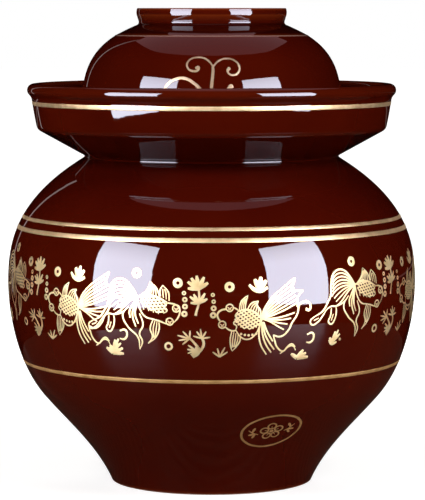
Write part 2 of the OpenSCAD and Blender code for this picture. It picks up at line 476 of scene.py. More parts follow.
class Wall:
    """A stretch of turned wall that ornament is laid on."""

    def __init__(self, side: Sequence[Vector]) -> None:
        """Measures the wall along its outline, which rises from its first point.

        Args:
            side: the wall's points, from the bottom up.
        """
        self.side = list(side)
        self.lengths = [0.0]
        for low, high in zip(side, side[1:]):
            self.lengths.append(self.lengths[-1] + (high - low).length)
        tangents = [(b - a).normalized() for a, b in zip([side[0], *side], [*side[1:], side[-1]])]
        tangents[0], tangents[-1] = (side[1] - side[0]).normalized(), (side[-1] - side[-2]).normalized()
        smooth = [(a + b).normalized() for a, b in zip([tangents[0], *tangents[:-1]], tangents)]
        self.normals = [Vector((t.y, -t.x)) for t in smooth]

    def length_at(self, height: float) -> float:
        """The length along the outline up to a height.

        Args:
            height: a height between the wall's ends.

        Returns:
            The length.
        """
        for i, (low, high) in enumerate(zip(self.side, self.side[1:])):
            if low.y <= height <= high.y:
                share = (height - low.y) / max(high.y - low.y, 1e-9)
                return self.lengths[i] + share * (self.lengths[i + 1] - self.lengths[i])
        raise ValueError(f"the wall has no height {height}")

    def spot(self, length: float) -> tuple[Vector, Vector]:
        """The outline's point at a length along it, and its outward normal.

        Args:
            length: a length along the outline.

        Returns:
            The point and the normal.
        """
        i = 0
        while i < len(self.lengths) - 2 and self.lengths[i + 1] < length:
            i += 1
        share = (length - self.lengths[i]) / (self.lengths[i + 1] - self.lengths[i])
        normal = self.normals[i].lerp(self.normals[i + 1], min(max(share, 0), 1)).normalized()
        return self.side[i].lerp(self.side[i + 1], share), normal

    def lay(self, mesh: bpy.types.Mesh, azimuth: float, length: float, tilt: float = 0.0) -> None:
        """Wraps a flat mesh in millimetres round the wall, and turns it to metres.

        Args:
            mesh: ornament with X along the wall, Y up it and Z out of it.
            azimuth: where its origin goes, in degrees to the right of the front.
            length: where its origin goes along the outline.
            tilt: how far it is turned to the left, in degrees.
        """
        middle = self.spot(length)[0].x
        turn = Matrix.Rotation(math.radians(tilt), 3, "Z")
        for vertex in mesh.vertices:
            flat = turn @ vertex.co
            point, normal = self.spot(length + flat.y)
            point = point + normal * flat.z
            angle = math.radians(azimuth) + flat.x / middle
            vertex.co = Vector((point.x * math.sin(angle), -point.x * math.cos(angle), point.y)) * MM


def breaking(outline: Sequence[Vector], index: int) -> float:
    """How much the glaze thins at a point of an outline, from 0 to 1: more, the tighter the wall bends outward.

    Args:
        outline: the outline's points.
        index: the point's place among them.

    Returns:
        0 where the bend's radius is above 6 mm, and 1 where it is below 1 mm.
    """
    here = outline[index]
    before, after = outline[max(index - 1, 0)], outline[min(index + 1, len(outline) - 1)]
    back, on = here - before, after - here
    if back.length < 1e-6 or on.length < 1e-6:
        return 0.0
    bend = back.x * on.y - back.y * on.x
    turn = math.asin(max(-1.0, min(1.0, bend / (back.length * on.length))))
    per_mm = 2 * turn / (back.length + on.length)
    return max(0.0, min(1.0, 1.2 * per_mm - 0.2))


def thinned(outline: Sequence[Vector]) -> list[float]:
    """How much the glaze thins at each point of an outline, with every tight bend fading out to both sides."""
    bends = [breaking(outline, i) for i in range(len(outline))]
    return [max(b * max(0.0, 1 - (q - p).length / BREAK_REACH) for b, q in zip(bends, outline)) for p in outline]


def turned(
    name: str,
    outline: Outline,
    finishes: Sequence[Material],
    pick: Callable[[Vector], int] = lambda middle: 0,
    pool_and_shade: Callable[[Vector], float] = lambda point: 0.0,
    closed: bool = False,
) -> bpy.types.Object:
    """Turns an outline about the axis.

    Args:
        name: the piece's name.
        outline: its points in order, anticlockwise, which start and end on the axis unless closed.
        finishes: its materials.
        pick: tells which material a face has, from its middle as radius and height in millimetres.
        pool_and_shade: tells how much pooled glaze and painted shade darken a point, from 0 to 1.
        closed: joins the outline's ends, for a ring.

    Returns:
        The piece.
    """
    shape = bmesh.new()
    thin = shape.verts.layers.float.new("glaze_break")
    # How much pooled glaze and painted shade darken each point
    thick_and_shaded = shape.verts.layers.float.new("glaze_pool_and_shade")
    outline = hold(outline, closed)
    points = []
    for p, share in zip(outline, thinned(outline)):
        vertex = shape.verts.new((0, -p.x * MM, p.y * MM))
        vertex[thin], vertex[thick_and_shaded] = share, pool_and_shade(p)
        points.append(vertex)
    ends = [*points[1:], points[0]] if closed else points[1:]
    edges = [shape.edges.new(pair) for pair in zip(points, ends)]
    bmesh.ops.spin(
        shape, geom=points + edges, cent=(0, 0, 0), axis=(0, 0, 1), angle=math.tau, steps=SPIN_STEPS, use_merge=True
    )
    bmesh.ops.remove_doubles(shape, verts=shape.verts, dist=1e-7)
    bmesh.ops.recalc_face_normals(shape, faces=shape.faces)
    for face in shape.faces:
        face.smooth = True
        middle = face.calc_center_median() / MM
        face.material_index = pick(at(middle.xy.length, middle.z))
    for edge in shape.edges:
        edge.smooth = edge.calc_face_angle(0) < CRISP_EDGE
    return piece_from(name, shape, finishes)


def piece_from(name: str, shape: bmesh.types.BMesh, finishes: Sequence[Material]) -> bpy.types.Object:
    """Writes a bmesh to a new object at the origin, gives it its materials and links it.

    Args:
        name: the piece's name.
        shape: the bmesh, which is freed.
        finishes: its materials.

    Returns:
        The piece.
    """
    mesh = bpy.data.meshes.new(name)
    shape.to_mesh(mesh)
    shape.free()
    return piece_of(name, mesh, finishes)


def piece_of(name: str, mesh: bpy.types.Mesh, finishes: Sequence[Material]) -> bpy.types.Object:
    """Links a mesh as a new object at the origin with its materials.

    Args:
        name: the piece's name.
        mesh: its mesh.
        finishes: its materials.

    Returns:
        The piece.
    """
    for finish in finishes:
        mesh.materials.append(finish)
    piece = bpy.data.objects.new(name, mesh)
    bpy.context.scene.collection.objects.link(piece)
    return piece


def seat(piece: bpy.types.Object, body: Body, slot: Slot, *nodes: str) -> None:
    """Makes a piece ride on a body, hides the frame's nodes that it stands for, and reports it.

    Args:
        piece: the visual piece.
        body: the body that it rides on.
        slot: its material slot; not used.
        nodes: the frame's nodes that it stands for, if any.
    """
    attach(piece, body.value)
    if nodes:
        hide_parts(*nodes)
    log.info("%s rides on %s, %d faces", piece.name, body.value, len(piece.data.polygons))


@dataclass(frozen=True)
class Finishes:
    """The crock's materials."""

    glaze: Material
    inner_glaze: Material
    clay: Material
    stone: Material
    gilding: Material
    painted_gilding: Material
    dull_gilding: Material
    pale_gilding: Material
    crown_line: Material

    @classmethod
    def build(cls) -> "Finishes":
        """Makes them all."""
        return cls(
            glaze=Glaze("iron_red_glaze").build(),
            inner_glaze=Glaze("inner_lid_iron_glaze", thick_and_shaded="#4A0B06", thin="#5E160A").build(),
            clay=BareClay("bare_stoneware").build(),
            stone=BareClay("pressing_stoneware", pale="#C9B69B", dark="#B09A7C", speck="#7B6650").build(),
            gilding=Gilding("bright_gold").build(),
            painted_gilding=Gilding("painted_gold", full="#FFE4AA", lean="#F0CE8E").build(),
            # Darker, less metallic gold as painted shade, for the belly line and the oval low on the jar, which face
            # down
            dull_gilding=Gilding(
                "shaded_gold", full="#E0B072", lean="#C69554", roughness=(0.46, 0.54), metal=0.5
            ).build(),
            pale_gilding=Gilding("pale_gold", full="#D6B894", lean="#BA9974", roughness=(0.44, 0.5)).build(),
            # The fine line round the crown is coloured pale as a painted highlight
            crown_line=Glaze("crown_highlight_glaze", thick_and_shaded="#6E5450", thin="#7C625C", breaking="#8A6E66").build(),
        )


@dataclass
class Jar:
    """Foot, belly, shoulder, neck and moat, fired as one piece. Sizes in millimetres, as in the frame."""

    finishes: Finishes
    foot_d: float = 127.5
    turn_h: float = 56.0
    turn_d: float = 214.5
    belly_h: float = 127.5
    belly_d: float = 259.0
    throat_h: float = 206.8
    throat_d: float = 159.4
    wall: float = 8.0
    floor_t: float = 10.0
    foot_recess: float = 3.0
    foot_ring_w: float = 10.0
    mouth_d: float = 108.0
    neck_wall: float = 7.0
    neck_h: float = 34.0
    moat_floor_t: float = 9.2
    moat_depth: float = 36.5
    moat_wall: float = 6.0
    moat_rise: float = 17.0
    moat_lean: float = 3.3
    moat_in_r: float = 107.8
    lip_roll_d: float = 8.0
    lip_out: float = 2.9
    lip_root_round: float = 6.0
    moat_top_lean: float = 8.0
    lid_r: float = 82.5
    upper_steps: int = 52
    # The share of the moat corner's round that its arc takes up on the moat's wall
    corner_share: float = 0.6
    # Pooled glaze and painted shade: its share under the overhang, where it is painted shade alone, how far it stays
    # from the moat's corner there, the depth in which it grows below the lip, and the slack below the moat's floor
    # and outside its wall
    overhang_shade: float = 0.5
    overhang_clear: float = 2.0
    moat_pool_and_shade_depth: float = 6.0
    pool_and_shade_slack: Place = (0.5, 0.1)

    foot_slope_share: float = 0.44
    turn_slope_share: float = 0.85
    throat_slope_share: float = 1.67
    foot_steer_share: float = 0.406
    turn_steer_shares: Place = (0.305, 0.273)
    belly_steer_shares: Place = (0.283, 0.318)
    throat_steer_share: float = 0.336

    foot_edge: float = 1.0
    floor_round: float = 8.0
    neck_foot_round: float = 8.0
    neck_lip_round: float = 2.0
    neck_root_round: float = 4.0
    throat_round: float = 1.0
    moat_corner_round: float = 5.0
    moat_inner_round: float = 8.0
    moat_step_round: float = 3.0
    lip_inner_round: float = 3.0
    moat_corner_t: float = 4.0
    seat_margin: float = 1.5
    # Height up to which the wall's edge at the foot is wiped clean of glaze; the pale clay there also stands in for a
    # painted reflection of the floor
    wiped_h: float = 0.8

    def __post_init__(self) -> None:
        """Works out the chain of sizes and the outer wall."""
        self.floor_z = self.foot_recess + self.floor_t
        self.moat_floor_z = self.throat_h + self.moat_floor_t
        self.rim_z = self.moat_floor_z + self.moat_depth
        self.neck_top_z = self.moat_floor_z + self.neck_h
        self.mouth_r = self.mouth_d / 2
        self.neck_r = self.mouth_r + self.neck_wall
        self.moat_r = self.moat_in_r + self.moat_wall
        foot, turn = at(self.foot_d / 2, 0), at(self.turn_d / 2, self.turn_h)
        belly, self.throat = at(self.belly_d / 2, self.belly_h), at(self.throat_d / 2, self.throat_h)
        middle_h, upper_h = self.belly_h - self.turn_h, self.throat_h - self.belly_h
        low_steer, high_steer = self.turn_steer_shares
        belly_down, belly_up = self.belly_steer_shares
        lower = [
            foot,
            foot + lean(self.foot_slope_share, self.foot_steer_share * self.turn_h),
            turn - lean(self.turn_slope_share, low_steer * self.turn_h),
            turn,
        ]
        middle = [
            turn,
            turn + lean(self.turn_slope_share, high_steer * middle_h),
            belly - at(0, belly_down * middle_h),
            belly,
        ]
        upper = [
            belly,
            belly + at(0, belly_up * upper_h),
            self.throat - lean(-self.throat_slope_share, self.throat_steer_share * upper_h),
            self.throat,
        ]
        self.frame_side = [foot, *curve(lower), *curve(middle), *curve(upper, self.upper_steps)]
        self.side = inset(self.frame_side, SKIN)
        self.lip_r = self.lip_roll_d / 2
        self.lip_middle = at(self.moat_r + self.lip_out - self.lip_r, self.rim_z - self.lip_r)
        # The moat's wall stands a little steeper towards its top, and runs into the lip in a hollow round
        tilt = math.radians(self.moat_top_lean)
        slant = Vector((math.sin(tilt), math.cos(tilt)))
        across = Vector((slant.y, -slant.x)) * self.lip_root_round
        self.hollow = at(self.moat_r - SKIN + across.x, 0)
        reach = self.lip_r + self.lip_root_round
        self.hollow.y = self.lip_middle.y - math.sqrt(reach**2 - (self.hollow.x - self.lip_middle.x) ** 2)
        self.lip_from = math.degrees(math.atan2(self.hollow.y - self.lip_middle.y, self.hollow.x - self.lip_middle.x))
        moat_top = self.hollow - across
        self.moat_corner = at(self.moat_r - self.moat_lean - SKIN, self.throat_h + self.moat_rise)
        steer = moat_top - slant * (moat_top.y - self.moat_corner.y) / 2
        self.moat_side = [self.moat_corner, *curve([self.moat_corner, steer, moat_top], 2 * EDGE_STEPS)]

    def outline(self) -> Outline:
        """The jar's closed outline, from the middle of the recess under its foot round to the middle of its floor.

        Returns:
            The outline's points.
        """
        inner_side = inset(self.frame_side, self.wall)[1:-1]
        rise = lean(-self.throat_slope_share, 1).normalized()
        inner_throat = self.throat + self.wall * Vector((-rise.y, rise.x))
        neck_foot_z = inner_throat.y + (inner_throat.x - self.mouth_r) / self.throat_slope_share
        foot_r = self.side[0].x
        ring_in_r = self.foot_d / 2 - self.foot_ring_w
        lip_in = at(self.moat_in_r + self.lip_inner_round, self.rim_z - self.lip_inner_round)
        inner = [p for p in inner_side if p.y > self.floor_z + self.floor_round]
        return soften(
            [
                at(0, self.foot_recess),
                Corner(ring_in_r, self.foot_recess, self.foot_edge),
                Corner(ring_in_r, 0, self.foot_edge),
                Corner(foot_r, 0, self.foot_edge),
                *[p for p in self.side[1:-1] if p.y > self.foot_edge],
                Corner(self.throat.x, self.throat.y, self.throat_round),
                Corner(self.moat_corner.x, self.moat_corner.y, self.moat_corner_round),
                *[p for p in self.moat_side if p.y > self.moat_corner.y + self.corner_share * self.moat_corner_round],
                *arc(self.hollow, self.lip_root_round, 180 - self.moat_top_lean, self.lip_from + 180)[1:-1],
                *arc(self.lip_middle, self.lip_r, self.lip_from, 90),
                *arc(lip_in, self.lip_inner_round, 90, 180),
                Corner(
                    self.moat_in_r - self.moat_lean,
                    self.moat_corner.y + self.moat_corner_t,
                    self.moat_inner_round,
                ),
                Corner(self.lid_r + self.seat_margin, self.moat_floor_z, self.moat_step_round),
                Corner(self.neck_r, self.moat_floor_z, self.neck_root_round),
                Corner(self.neck_r, self.neck_top_z, self.neck_lip_round),
                Corner(self.mouth_r, self.neck_top_z, self.neck_lip_round),
                Corner(self.mouth_r, neck_foot_z, self.neck_foot_round),
                *reversed(inner),
                Corner(radius_at(inner_side, self.floor_z), self.floor_z, self.floor_round),
                at(0, self.floor_z),
            ]
        )

    def build(self) -> None:
        """Makes the jar, glazed all over but for its foot."""
        bare_r, bare_z = self.foot_d / 2 - self.foot_edge, self.foot_recess + self.foot_edge
        piece = turned(
            "jar_glazed",
            self.outline(),
            [self.finishes.glaze, self.finishes.clay],
            lambda middle: int(middle.y < self.wiped_h or (middle.y < bare_z and middle.x < bare_r)),
            self.pool_and_shade,
        )
        seat(piece, Body.JAR, Slot.GLAZE, "jar")

    def pool_and_shade(self, point: Vector) -> float:
        """How dark the glaze is at a point, from pooled glaze and painted shade: both lie down in the moat, and under
        its overhang the darkening is painted shade alone.

        Args:
            point: a point of the outline.

        Returns:
            The share of pooled glaze, from 0 to 1.
        """
        # Under the overhang the dark colour is painted shade alone
        overhang_r = self.moat_corner.x - self.overhang_clear
        if self.throat.y <= point.y < self.moat_corner.y and self.throat.x <= point.x < overhang_r:
            return self.overhang_shade
        below, outside = self.pool_and_shade_slack
        if point.y < self.moat_floor_z - below or not self.neck_r < point.x < self.moat_in_r + outside:
            return 0.0
        return min(max((self.rim_z - self.lip_inner_round - point.y) / self.moat_pool_and_shade_depth, 0.0), 1.0)


@dataclass
class GiltLines:
    """Lines of gold banded on to the jar while it turned on the gilder's wheel."""

    jar: Jar
    moat_drop: float = 12.1
    moat_w: float = 2.6
    upper_drop: float = 37.5
    upper_w: float = 2.0
    pitch: float = 6.4
    lower_w: float = 2.6
    belly_drop: float = 49.5
    belly_w: float = 2.2
    thickness: float = 0.12
    sunk: float = 0.3
    steps: int = 6

    def line(self, node: str, side: Sequence[Vector], middle: float, width: float, finish: Material) -> None:
        """Makes one line round the jar.

        Args:
            node: the frame's node that it stands for.
            side: the wall that it lies on.
            middle: the height of its middle.
            width: its width.
            finish: its material.
        """
        wall = Wall(side)
        start, end = wall.length_at(middle - width / 2), wall.length_at(middle + width / 2)
        spots = [wall.spot(start + (end - start) * k / self.steps) for k in range(self.steps + 1)]
        # The gold thins out at both edges of the line
        outer = [p + n * (self.thickness if 0 < k < self.steps else 0) for k, (p, n) in enumerate(spots)]
        inner = [p - n * self.sunk for p, n in reversed(spots)]
        piece = turned(node + "_gold", [*outer, *inner], [finish], closed=True)
        seat(piece, Body.JAR, Slot.GILDING, node)

    def build(self) -> None:
        """Makes all four lines."""
        jar, gold = self.jar, self.jar.finishes
        upper = jar.throat_h - self.upper_drop
        self.line("moat_gilt_band", jar.moat_side, jar.rim_z - self.moat_drop, self.moat_w, gold.gilding)
        self.line("shoulder_gilt_line_upper", jar.side, upper, self.upper_w, gold.gilding)
        self.line("shoulder_gilt_line_lower", jar.side, upper - self.pitch, self.lower_w, gold.gilding)
        self.line("belly_gilt_line", jar.side, jar.belly_h - self.belly_drop, self.belly_w, gold.dull_gilding)


@dataclass
class Lid:
    """Bowl turned upside down, whose foot ring is the handle. Sizes in millimetres, as in the frame."""

    jar: Jar
    lid_in_r: float = 77.0
    wall: float = 5.5
    skirt_h: float = 18.0
    ceiling_z: float = 285.5
    recess_z: float = 292.5
    top_z: float = 300.0
    ring_d: float = 94.8
    ring_h: float = 10.0
    ring_w: float = 6.5
    ring_flare: float = 1.4
    crown_slope_share: float = 2.68
    dome_steer_shares: Place = (0.457, 0.213)
    rim_edge: float = 1.5
    ring_root_round: float = 2.0
    ring_inner_round: float = 2.5
    recess_round: float = 3.0
    ceiling_round: float = 8.0
    # The ring's outside swells a little down to an edge, and draws in below it
    swell_r: float = 7.4
    swell_z: float = 297.3
    swell_turns: Place = (-14.0, 13.0)
    ring_edge: float = 0.4
    ring_top_edge: float = 0.8
    # A fine raised line round the crown, where the flatter crown starts
    crown_line_z: float = 282.9
    crown_line_out: float = 0.2
    crown_line_w: float = 1.1
    crown_line_from: float = 58.0
    # How much of the line is painted pale as a highlight, how far the dome stops short of it, and how full the crown
    # is above it
    crown_line_share: float = 0.3
    crown_line_clear: float = 0.4
    crown_fullness: float = 0.5
    # Pooled glaze and painted shade on the crown: its share, the height in which it fades at the ring, and its slack
    crown_pool_and_shade: float = 0.75
    crown_pool_and_shade_fade: float = 2.0
    crown_slack: Place = (1.0, 0.3)
    # How far the ring's root is tucked into the dome, inward and up
    ring_tuck: Place = (0.4, 0.1)
    dome_steps: int = 40
    wiped_h: float = 0.8

    def __post_init__(self) -> None:
        """Works out the outer wall from the rim to the root of the ring."""
        self.ring_r = self.ring_d / 2
        self.ring_root = at(self.ring_r - self.ring_flare, self.top_z - self.ring_h)
        skirt_top = at(self.jar.lid_r, self.jar.moat_floor_z + self.skirt_h)
        rise = self.ring_root.y - skirt_top.y
        skirt_steer, crown_steer = self.dome_steer_shares
        steered = [
            skirt_top,
            skirt_top + at(0, skirt_steer * rise),
            self.ring_root - lean(-self.crown_slope_share, crown_steer * rise),
            self.ring_root,
        ]
        self.dome = [skirt_top, *curve(steered, self.dome_steps)]

    def lined_dome(self) -> Outline:
        """The dome up to the fine line round its crown, and the line itself.

        Returns:
            Their points, from the skirt up to the ring.
        """
        wall = Wall(self.dome)
        middle, half = wall.length_at(self.crown_line_z), self.crown_line_w / 2
        low = [p for p, s in zip(self.dome, wall.lengths) if s < middle - half - self.crown_line_clear]
        ridge = []
        for k in range(-EDGE_STEPS, EDGE_STEPS + 1):
            point, normal = wall.spot(middle + half * k / EDGE_STEPS)
            ridge.append(point + normal * self.crown_line_out * (1 + math.cos(math.pi * k / EDGE_STEPS)) / 2)
        # Above the line the crown is a little flatter than the dome's curve
        span = self.ring_root - ridge[-1]
        top = []
        for share in (0.2, 0.4, 0.6, 0.8):
            flat = ridge[-1] + span * share
            full = at(radius_at(self.dome, flat.y), flat.y)
            top.append(flat.lerp(full, self.crown_fullness))
        return [*low, *ridge, *top]

    def finish_at(self, middle: Vector) -> int:
        """Which of its three materials a face has: glaze, the bare clay of the rim, or the crown line's painted
        highlight.

        Args:
            middle: the face's middle as radius and height.

        Returns:
            The material's place in the list.
        """
        if middle.y < self.jar.moat_floor_z + self.wiped_h:
            return 1
        # The middle of the crown line is painted pale as a highlight
        pale = self.crown_line_share * self.crown_line_w
        return 2 if abs(middle.y - self.crown_line_z) < pale and middle.x > self.crown_line_from else 0

    def pool_and_shade(self, point: Vector) -> float:
        """How dark the glaze is at a point, from pooled glaze and painted shade on the flat crown round the ring's
        root.

        Args:
            point: a point of the outline.

        Returns:
            The share of pooled glaze, from 0 to 1.
        """
        inward, above = self.crown_slack
        ring_z = self.ring_root.y + self.crown_pool_and_shade_fade
        if not self.crown_line_z + above < point.y < ring_z or point.x < self.ring_root.x - inward:
            return 0.0
        return self.crown_pool_and_shade * min(1.0, (ring_z - point.y) / self.crown_pool_and_shade_fade)

    def ring_outside(self) -> list[Vector | Corner]:
        """The ring's outside, from its root up to its top edge.

        Returns:
            Its points and corners.
        """
        middle = at(self.ring_r + 0.1 - self.swell_r, self.swell_z)
        swell = arc(middle, self.swell_r, *self.swell_turns)
        low, high = swell[0], swell[-1]
        return [
            Corner(self.ring_root.x - self.ring_tuck[0], self.ring_root.y + self.ring_tuck[1], self.ring_root_round),
            Corner(low.x, low.y, self.ring_edge),
            *swell[1:],
            Corner(high.x - 0.1, self.top_z, self.ring_top_edge),
        ]

    def outline(self) -> Outline:
        """The lid's closed outline, from the rim up the outside and back down the inside.

        Returns:
            The outline's points.
        """
        inner_dome = inset(self.dome, self.wall)
        ring_in = at(self.ring_r - self.ring_w + self.ring_inner_round, self.top_z - self.ring_inner_round)
        return soften(
            [
                at(0, self.ceiling_z),
                Corner(radius_at(inner_dome, self.ceiling_z), self.ceiling_z, self.ceiling_round),
                *reversed([p for p in inner_dome[1:] if p.y < self.ceiling_z - self.ceiling_round]),
                Corner(self.lid_in_r, self.jar.moat_floor_z, self.rim_edge),
                Corner(self.jar.lid_r, self.jar.moat_floor_z, self.rim_edge),
                *self.lined_dome(),
                *self.ring_outside(),
                *arc(ring_in, self.ring_inner_round, 90, 180),
                Corner(self.ring_r - self.ring_w, self.recess_z, self.recess_round),
                at(0, self.recess_z),
            ]
        )

    def build(self) -> None:
        """Makes the lid, glazed all over but for its rim."""
        piece = turned(
            "lid_glazed",
            self.outline(),
            [self.jar.finishes.glaze, self.jar.finishes.clay, self.jar.finishes.crown_line],
            self.finish_at,
            self.pool_and_shade,
        )
        seat(piece, Body.LID, Slot.GLAZE, "lid")


@dataclass
class InnerLid:
    """Flat disc that covers the mouth, with a flange to centre it and a knob to lift it."""

    jar: Jar
    plate_t: float = 6.0
    flange_h: float = 6.0
    flange_wall: float = 6.0
    flange_clearance: float = 1.5
    knob_h: float = 18.0
    knob_d: float = 25.0
    knob_head_h: float = 10.0
    knob_neck_d: float = 15.0
    plate_edge: float = 2.0
    flange_edge: float = 1.0
    flange_root_round: float = 2.0
    knob_root_round: float = 3.0
    knob_under_round: float = 1.2
    knob_top_round: float = 4.0

    def build(self) -> None:
        """Makes the inner lid, glazed on top and bare where it lies on the neck."""
        jar, finishes = self.jar, self.jar.finishes
        flange_r = jar.mouth_r - self.flange_clearance
        flange_z = jar.neck_top_z - self.flange_h
        plate_z = jar.neck_top_z + self.plate_t
        knob_z = plate_z + self.knob_h
        knob_under_z = knob_z - self.knob_head_h
        knob_r, knob_neck_r = self.knob_d / 2, self.knob_neck_d / 2
        outline = soften(
            [
                at(0, jar.neck_top_z),
                Corner(flange_r - self.flange_wall, jar.neck_top_z, self.flange_root_round),
                Corner(flange_r - self.flange_wall, flange_z, self.flange_edge),
                Corner(flange_r, flange_z, self.flange_edge),
                at(flange_r, jar.neck_top_z),
                Corner(jar.neck_r, jar.neck_top_z, self.flange_edge),
                Corner(jar.neck_r, plate_z, self.plate_edge),
                Corner(knob_neck_r, plate_z, self.knob_root_round),
                Corner(knob_neck_r, knob_under_z, self.knob_under_round),
                Corner(knob_r, knob_under_z, self.knob_top_round),
                Corner(knob_r, knob_z, self.knob_top_round),
                at(0, knob_z),
            ]
        )
        piece = turned(
            "inner_lid_glazed",
            outline,
            [finishes.inner_glaze, finishes.clay],
            lambda middle: int(middle.y < jar.neck_top_z + self.flange_edge),
        )
        seat(piece, Body.INNER_LID, Slot.INNER_GLAZE, "inner_lid")


@dataclass
class PressingStones:
    """Pair of half-moon stones that keep the food under the brine."""

    jar: Jar
    thickness: float = 22.0
    clearance: float = 5.0
    gap: float = 4.0
    grip_d: float = 30.0
    edge: float = 4.0
    tip: float = 5.0
    # Arc points nearer to the straight side than this many tip rounds give way to the tip's own arc
    tip_reach: float = 1.4
    arc_steps: int = 64

    def half_moon(self) -> Outline:
        """The right stone seen from above: a half disc with a grip cut into its straight side.

        Returns:
            The outline's points.
        """
        radius, grip_r, side = self.jar.mouth_r - self.clearance, self.grip_d / 2, self.gap / 2
        tip, grip = math.asin(side / radius), math.asin(side / grip_r)
        count = self.arc_steps
        sweep = [tip + (math.pi - 2 * tip) * k / count for k in range(1, count)]
        rim = [at(radius * math.sin(a), -radius * math.cos(a)) for a in sweep]
        sweep = [grip + (math.pi - 2 * grip) * k / count for k in range(1, count)]
        bite = [at(grip_r * math.sin(a), grip_r * math.cos(a)) for a in sweep]
        keep = self.tip * self.tip_reach
        return soften(
            [
                Corner(side, -radius * math.cos(tip), self.tip),
                *[p for p in rim if p.x > side + keep],
                Corner(side, radius * math.cos(tip), self.tip),
                Corner(side, grip_r * math.cos(grip), self.tip / 2),
                *[p for p in bite if p.x > side + keep / 2],
                Corner(side, -grip_r * math.cos(grip), self.tip / 2),
            ]
        )

    def stone(self, name: str, body: Body, side: int) -> None:
        """Makes one stone.

        Args:
            name: the frame's node that it stands for.
            body: the body that it rides on.
            side: 1 for the right stone and -1 for the left one.
        """
        shape = bmesh.new()
        low = [shape.verts.new((side * p.x * MM, p.y * MM, self.jar.floor_z * MM)) for p in self.half_moon()]
        top = bmesh.ops.extrude_face_region(shape, geom=[shape.faces.new(low)])["geom"]
        raised = [v for v in top if isinstance(v, bmesh.types.BMVert)]
        bmesh.ops.translate(shape, vec=(0, 0, self.thickness * MM), verts=raised)
        bmesh.ops.recalc_face_normals(shape, faces=shape.faces)
        flats = [f for f in shape.faces if abs(f.normal.z) > 0.5]
        bmesh.ops.bevel(
            shape,
            geom=[e for f in flats for e in f.edges],
            offset=self.edge * MM,
            segments=6,
            profile=0.5,
            affect="EDGES",
            material=-1,
        )
        for face in shape.faces:
            face.smooth = True
        piece = piece_from(name + "_clay", shape, [self.jar.finishes.stone])
        seat(piece, body, Slot.STONE, name)

    def build(self) -> None:
        """Makes both stones."""
        self.stone("weight_right", Body.RIGHT_STONE, 1)
        self.stone("weight_left", Body.LEFT_STONE, -1)


@dataclass(frozen=True)
class Stroke:
    """One stroke of the gilder's brush, in millimetres along and up the wall."""

    points: Sequence[Place]
    width: float
    # The width at its two ends, as shares of the width between them
    end_shares: Place = (0.7, 0.5)
    closed: bool = False


def ring(middle: Place, radius: float, width: float) -> Stroke:
    """A painted ring, whose radius runs to the middle of its line.

    Args:
        middle: the ring's middle.
        radius: its radius.
        width: its line's width.

    Returns:
        The closed stroke.
    """
    turns = [math.tau * k / 6 for k in range(6)]
    points = [(middle[0] + radius * math.cos(t), middle[1] + radius * math.sin(t)) for t in turns]
    return Stroke(points, width, (1, 1), True)


def painted(width: float, end_shares: Place, *runs: Sequence[Place]) -> list[Stroke]:
    """Strokes of one width and one taper, along each run of points."""
    return [Stroke(run, width, end_shares) for run in runs]


def between(
    first: Sequence[Place], last: Sequence[Place], count: int, width: float, reach: float = 1.0
) -> list[Stroke]:
    """Fills the space between two lines with rays that turn from one into the other.

    Args:
        first: the points of the line on one side.
        last: as many points of the line on the other side.
        count: how many rays there are.
        width: the rays' width.
        reach: the share of the lines' length that the rays have.

    Returns:
        The rays.
    """
    found = []
    for k in range(1, count + 1):
        share = k / (count + 1)
        ray = [(a[0] + (b[0] - a[0]) * share, a[1] + (b[1] - a[1]) * share) for a, b in zip(first, last)]
        tip, before = ray[-1], ray[-2]
        ray[-1] = (before[0] + (tip[0] - before[0]) * reach, before[1] + (tip[1] - before[1]) * reach)
        found.append(Stroke(ray, width, (0.6, 0.9)))
    return found


def leaves(root: Place, tips: Sequence[Place], width: float, root_share: float = 0.5) -> list[Stroke]:
    """Leaves that spread from one root, plump towards their tips."""
    plump = [(root[0] + (x - root[0]) * LEAF_BELLY, root[1] + (y - root[1]) * LEAF_BELLY) for x, y in tips]
    return painted(width, (root_share, 0.55), *([root, belly, tip] for belly, tip in zip(plump, tips)))


def scales(middle: Place, length: float, height: float, turn: float, pitch: float, width: float) -> list[Stroke]:
    """The net of scales on a fish's flank: two sets of slanting lines inside an oval.

    Args:
        middle: the oval's middle.
        length: half of the oval's length.
        height: half of the oval's height.
        turn: how far the oval is turned to the left, in degrees.
        pitch: the distance from line to line.
        width: the lines' width.

    Returns:
        The lines.
    """
    found = []
    cosine, sine = math.cos(math.radians(turn)), math.sin(math.radians(turn))
    for slant in (1, -1):
        # In units of the oval, a line runs along (1, slant) and lies this far from its middle
        step = pitch * math.sqrt(2) / (length + height)
        count = int(1 / step)
        for k in range(-count, count + 1):
            off = k * step
            half = math.sqrt(max(1 - off * off, 0))
            ends = []
            for along in (-half, 0, half):
                x = length * (along - slant * off) / math.sqrt(2)
                y = height * (slant * along + off) / math.sqrt(2)
                ends.append((middle[0] + x * cosine - y * sine, middle[1] + x * sine + y * cosine))
            found.append(Stroke(ends, width, (0.9, 0.9)))
    return found


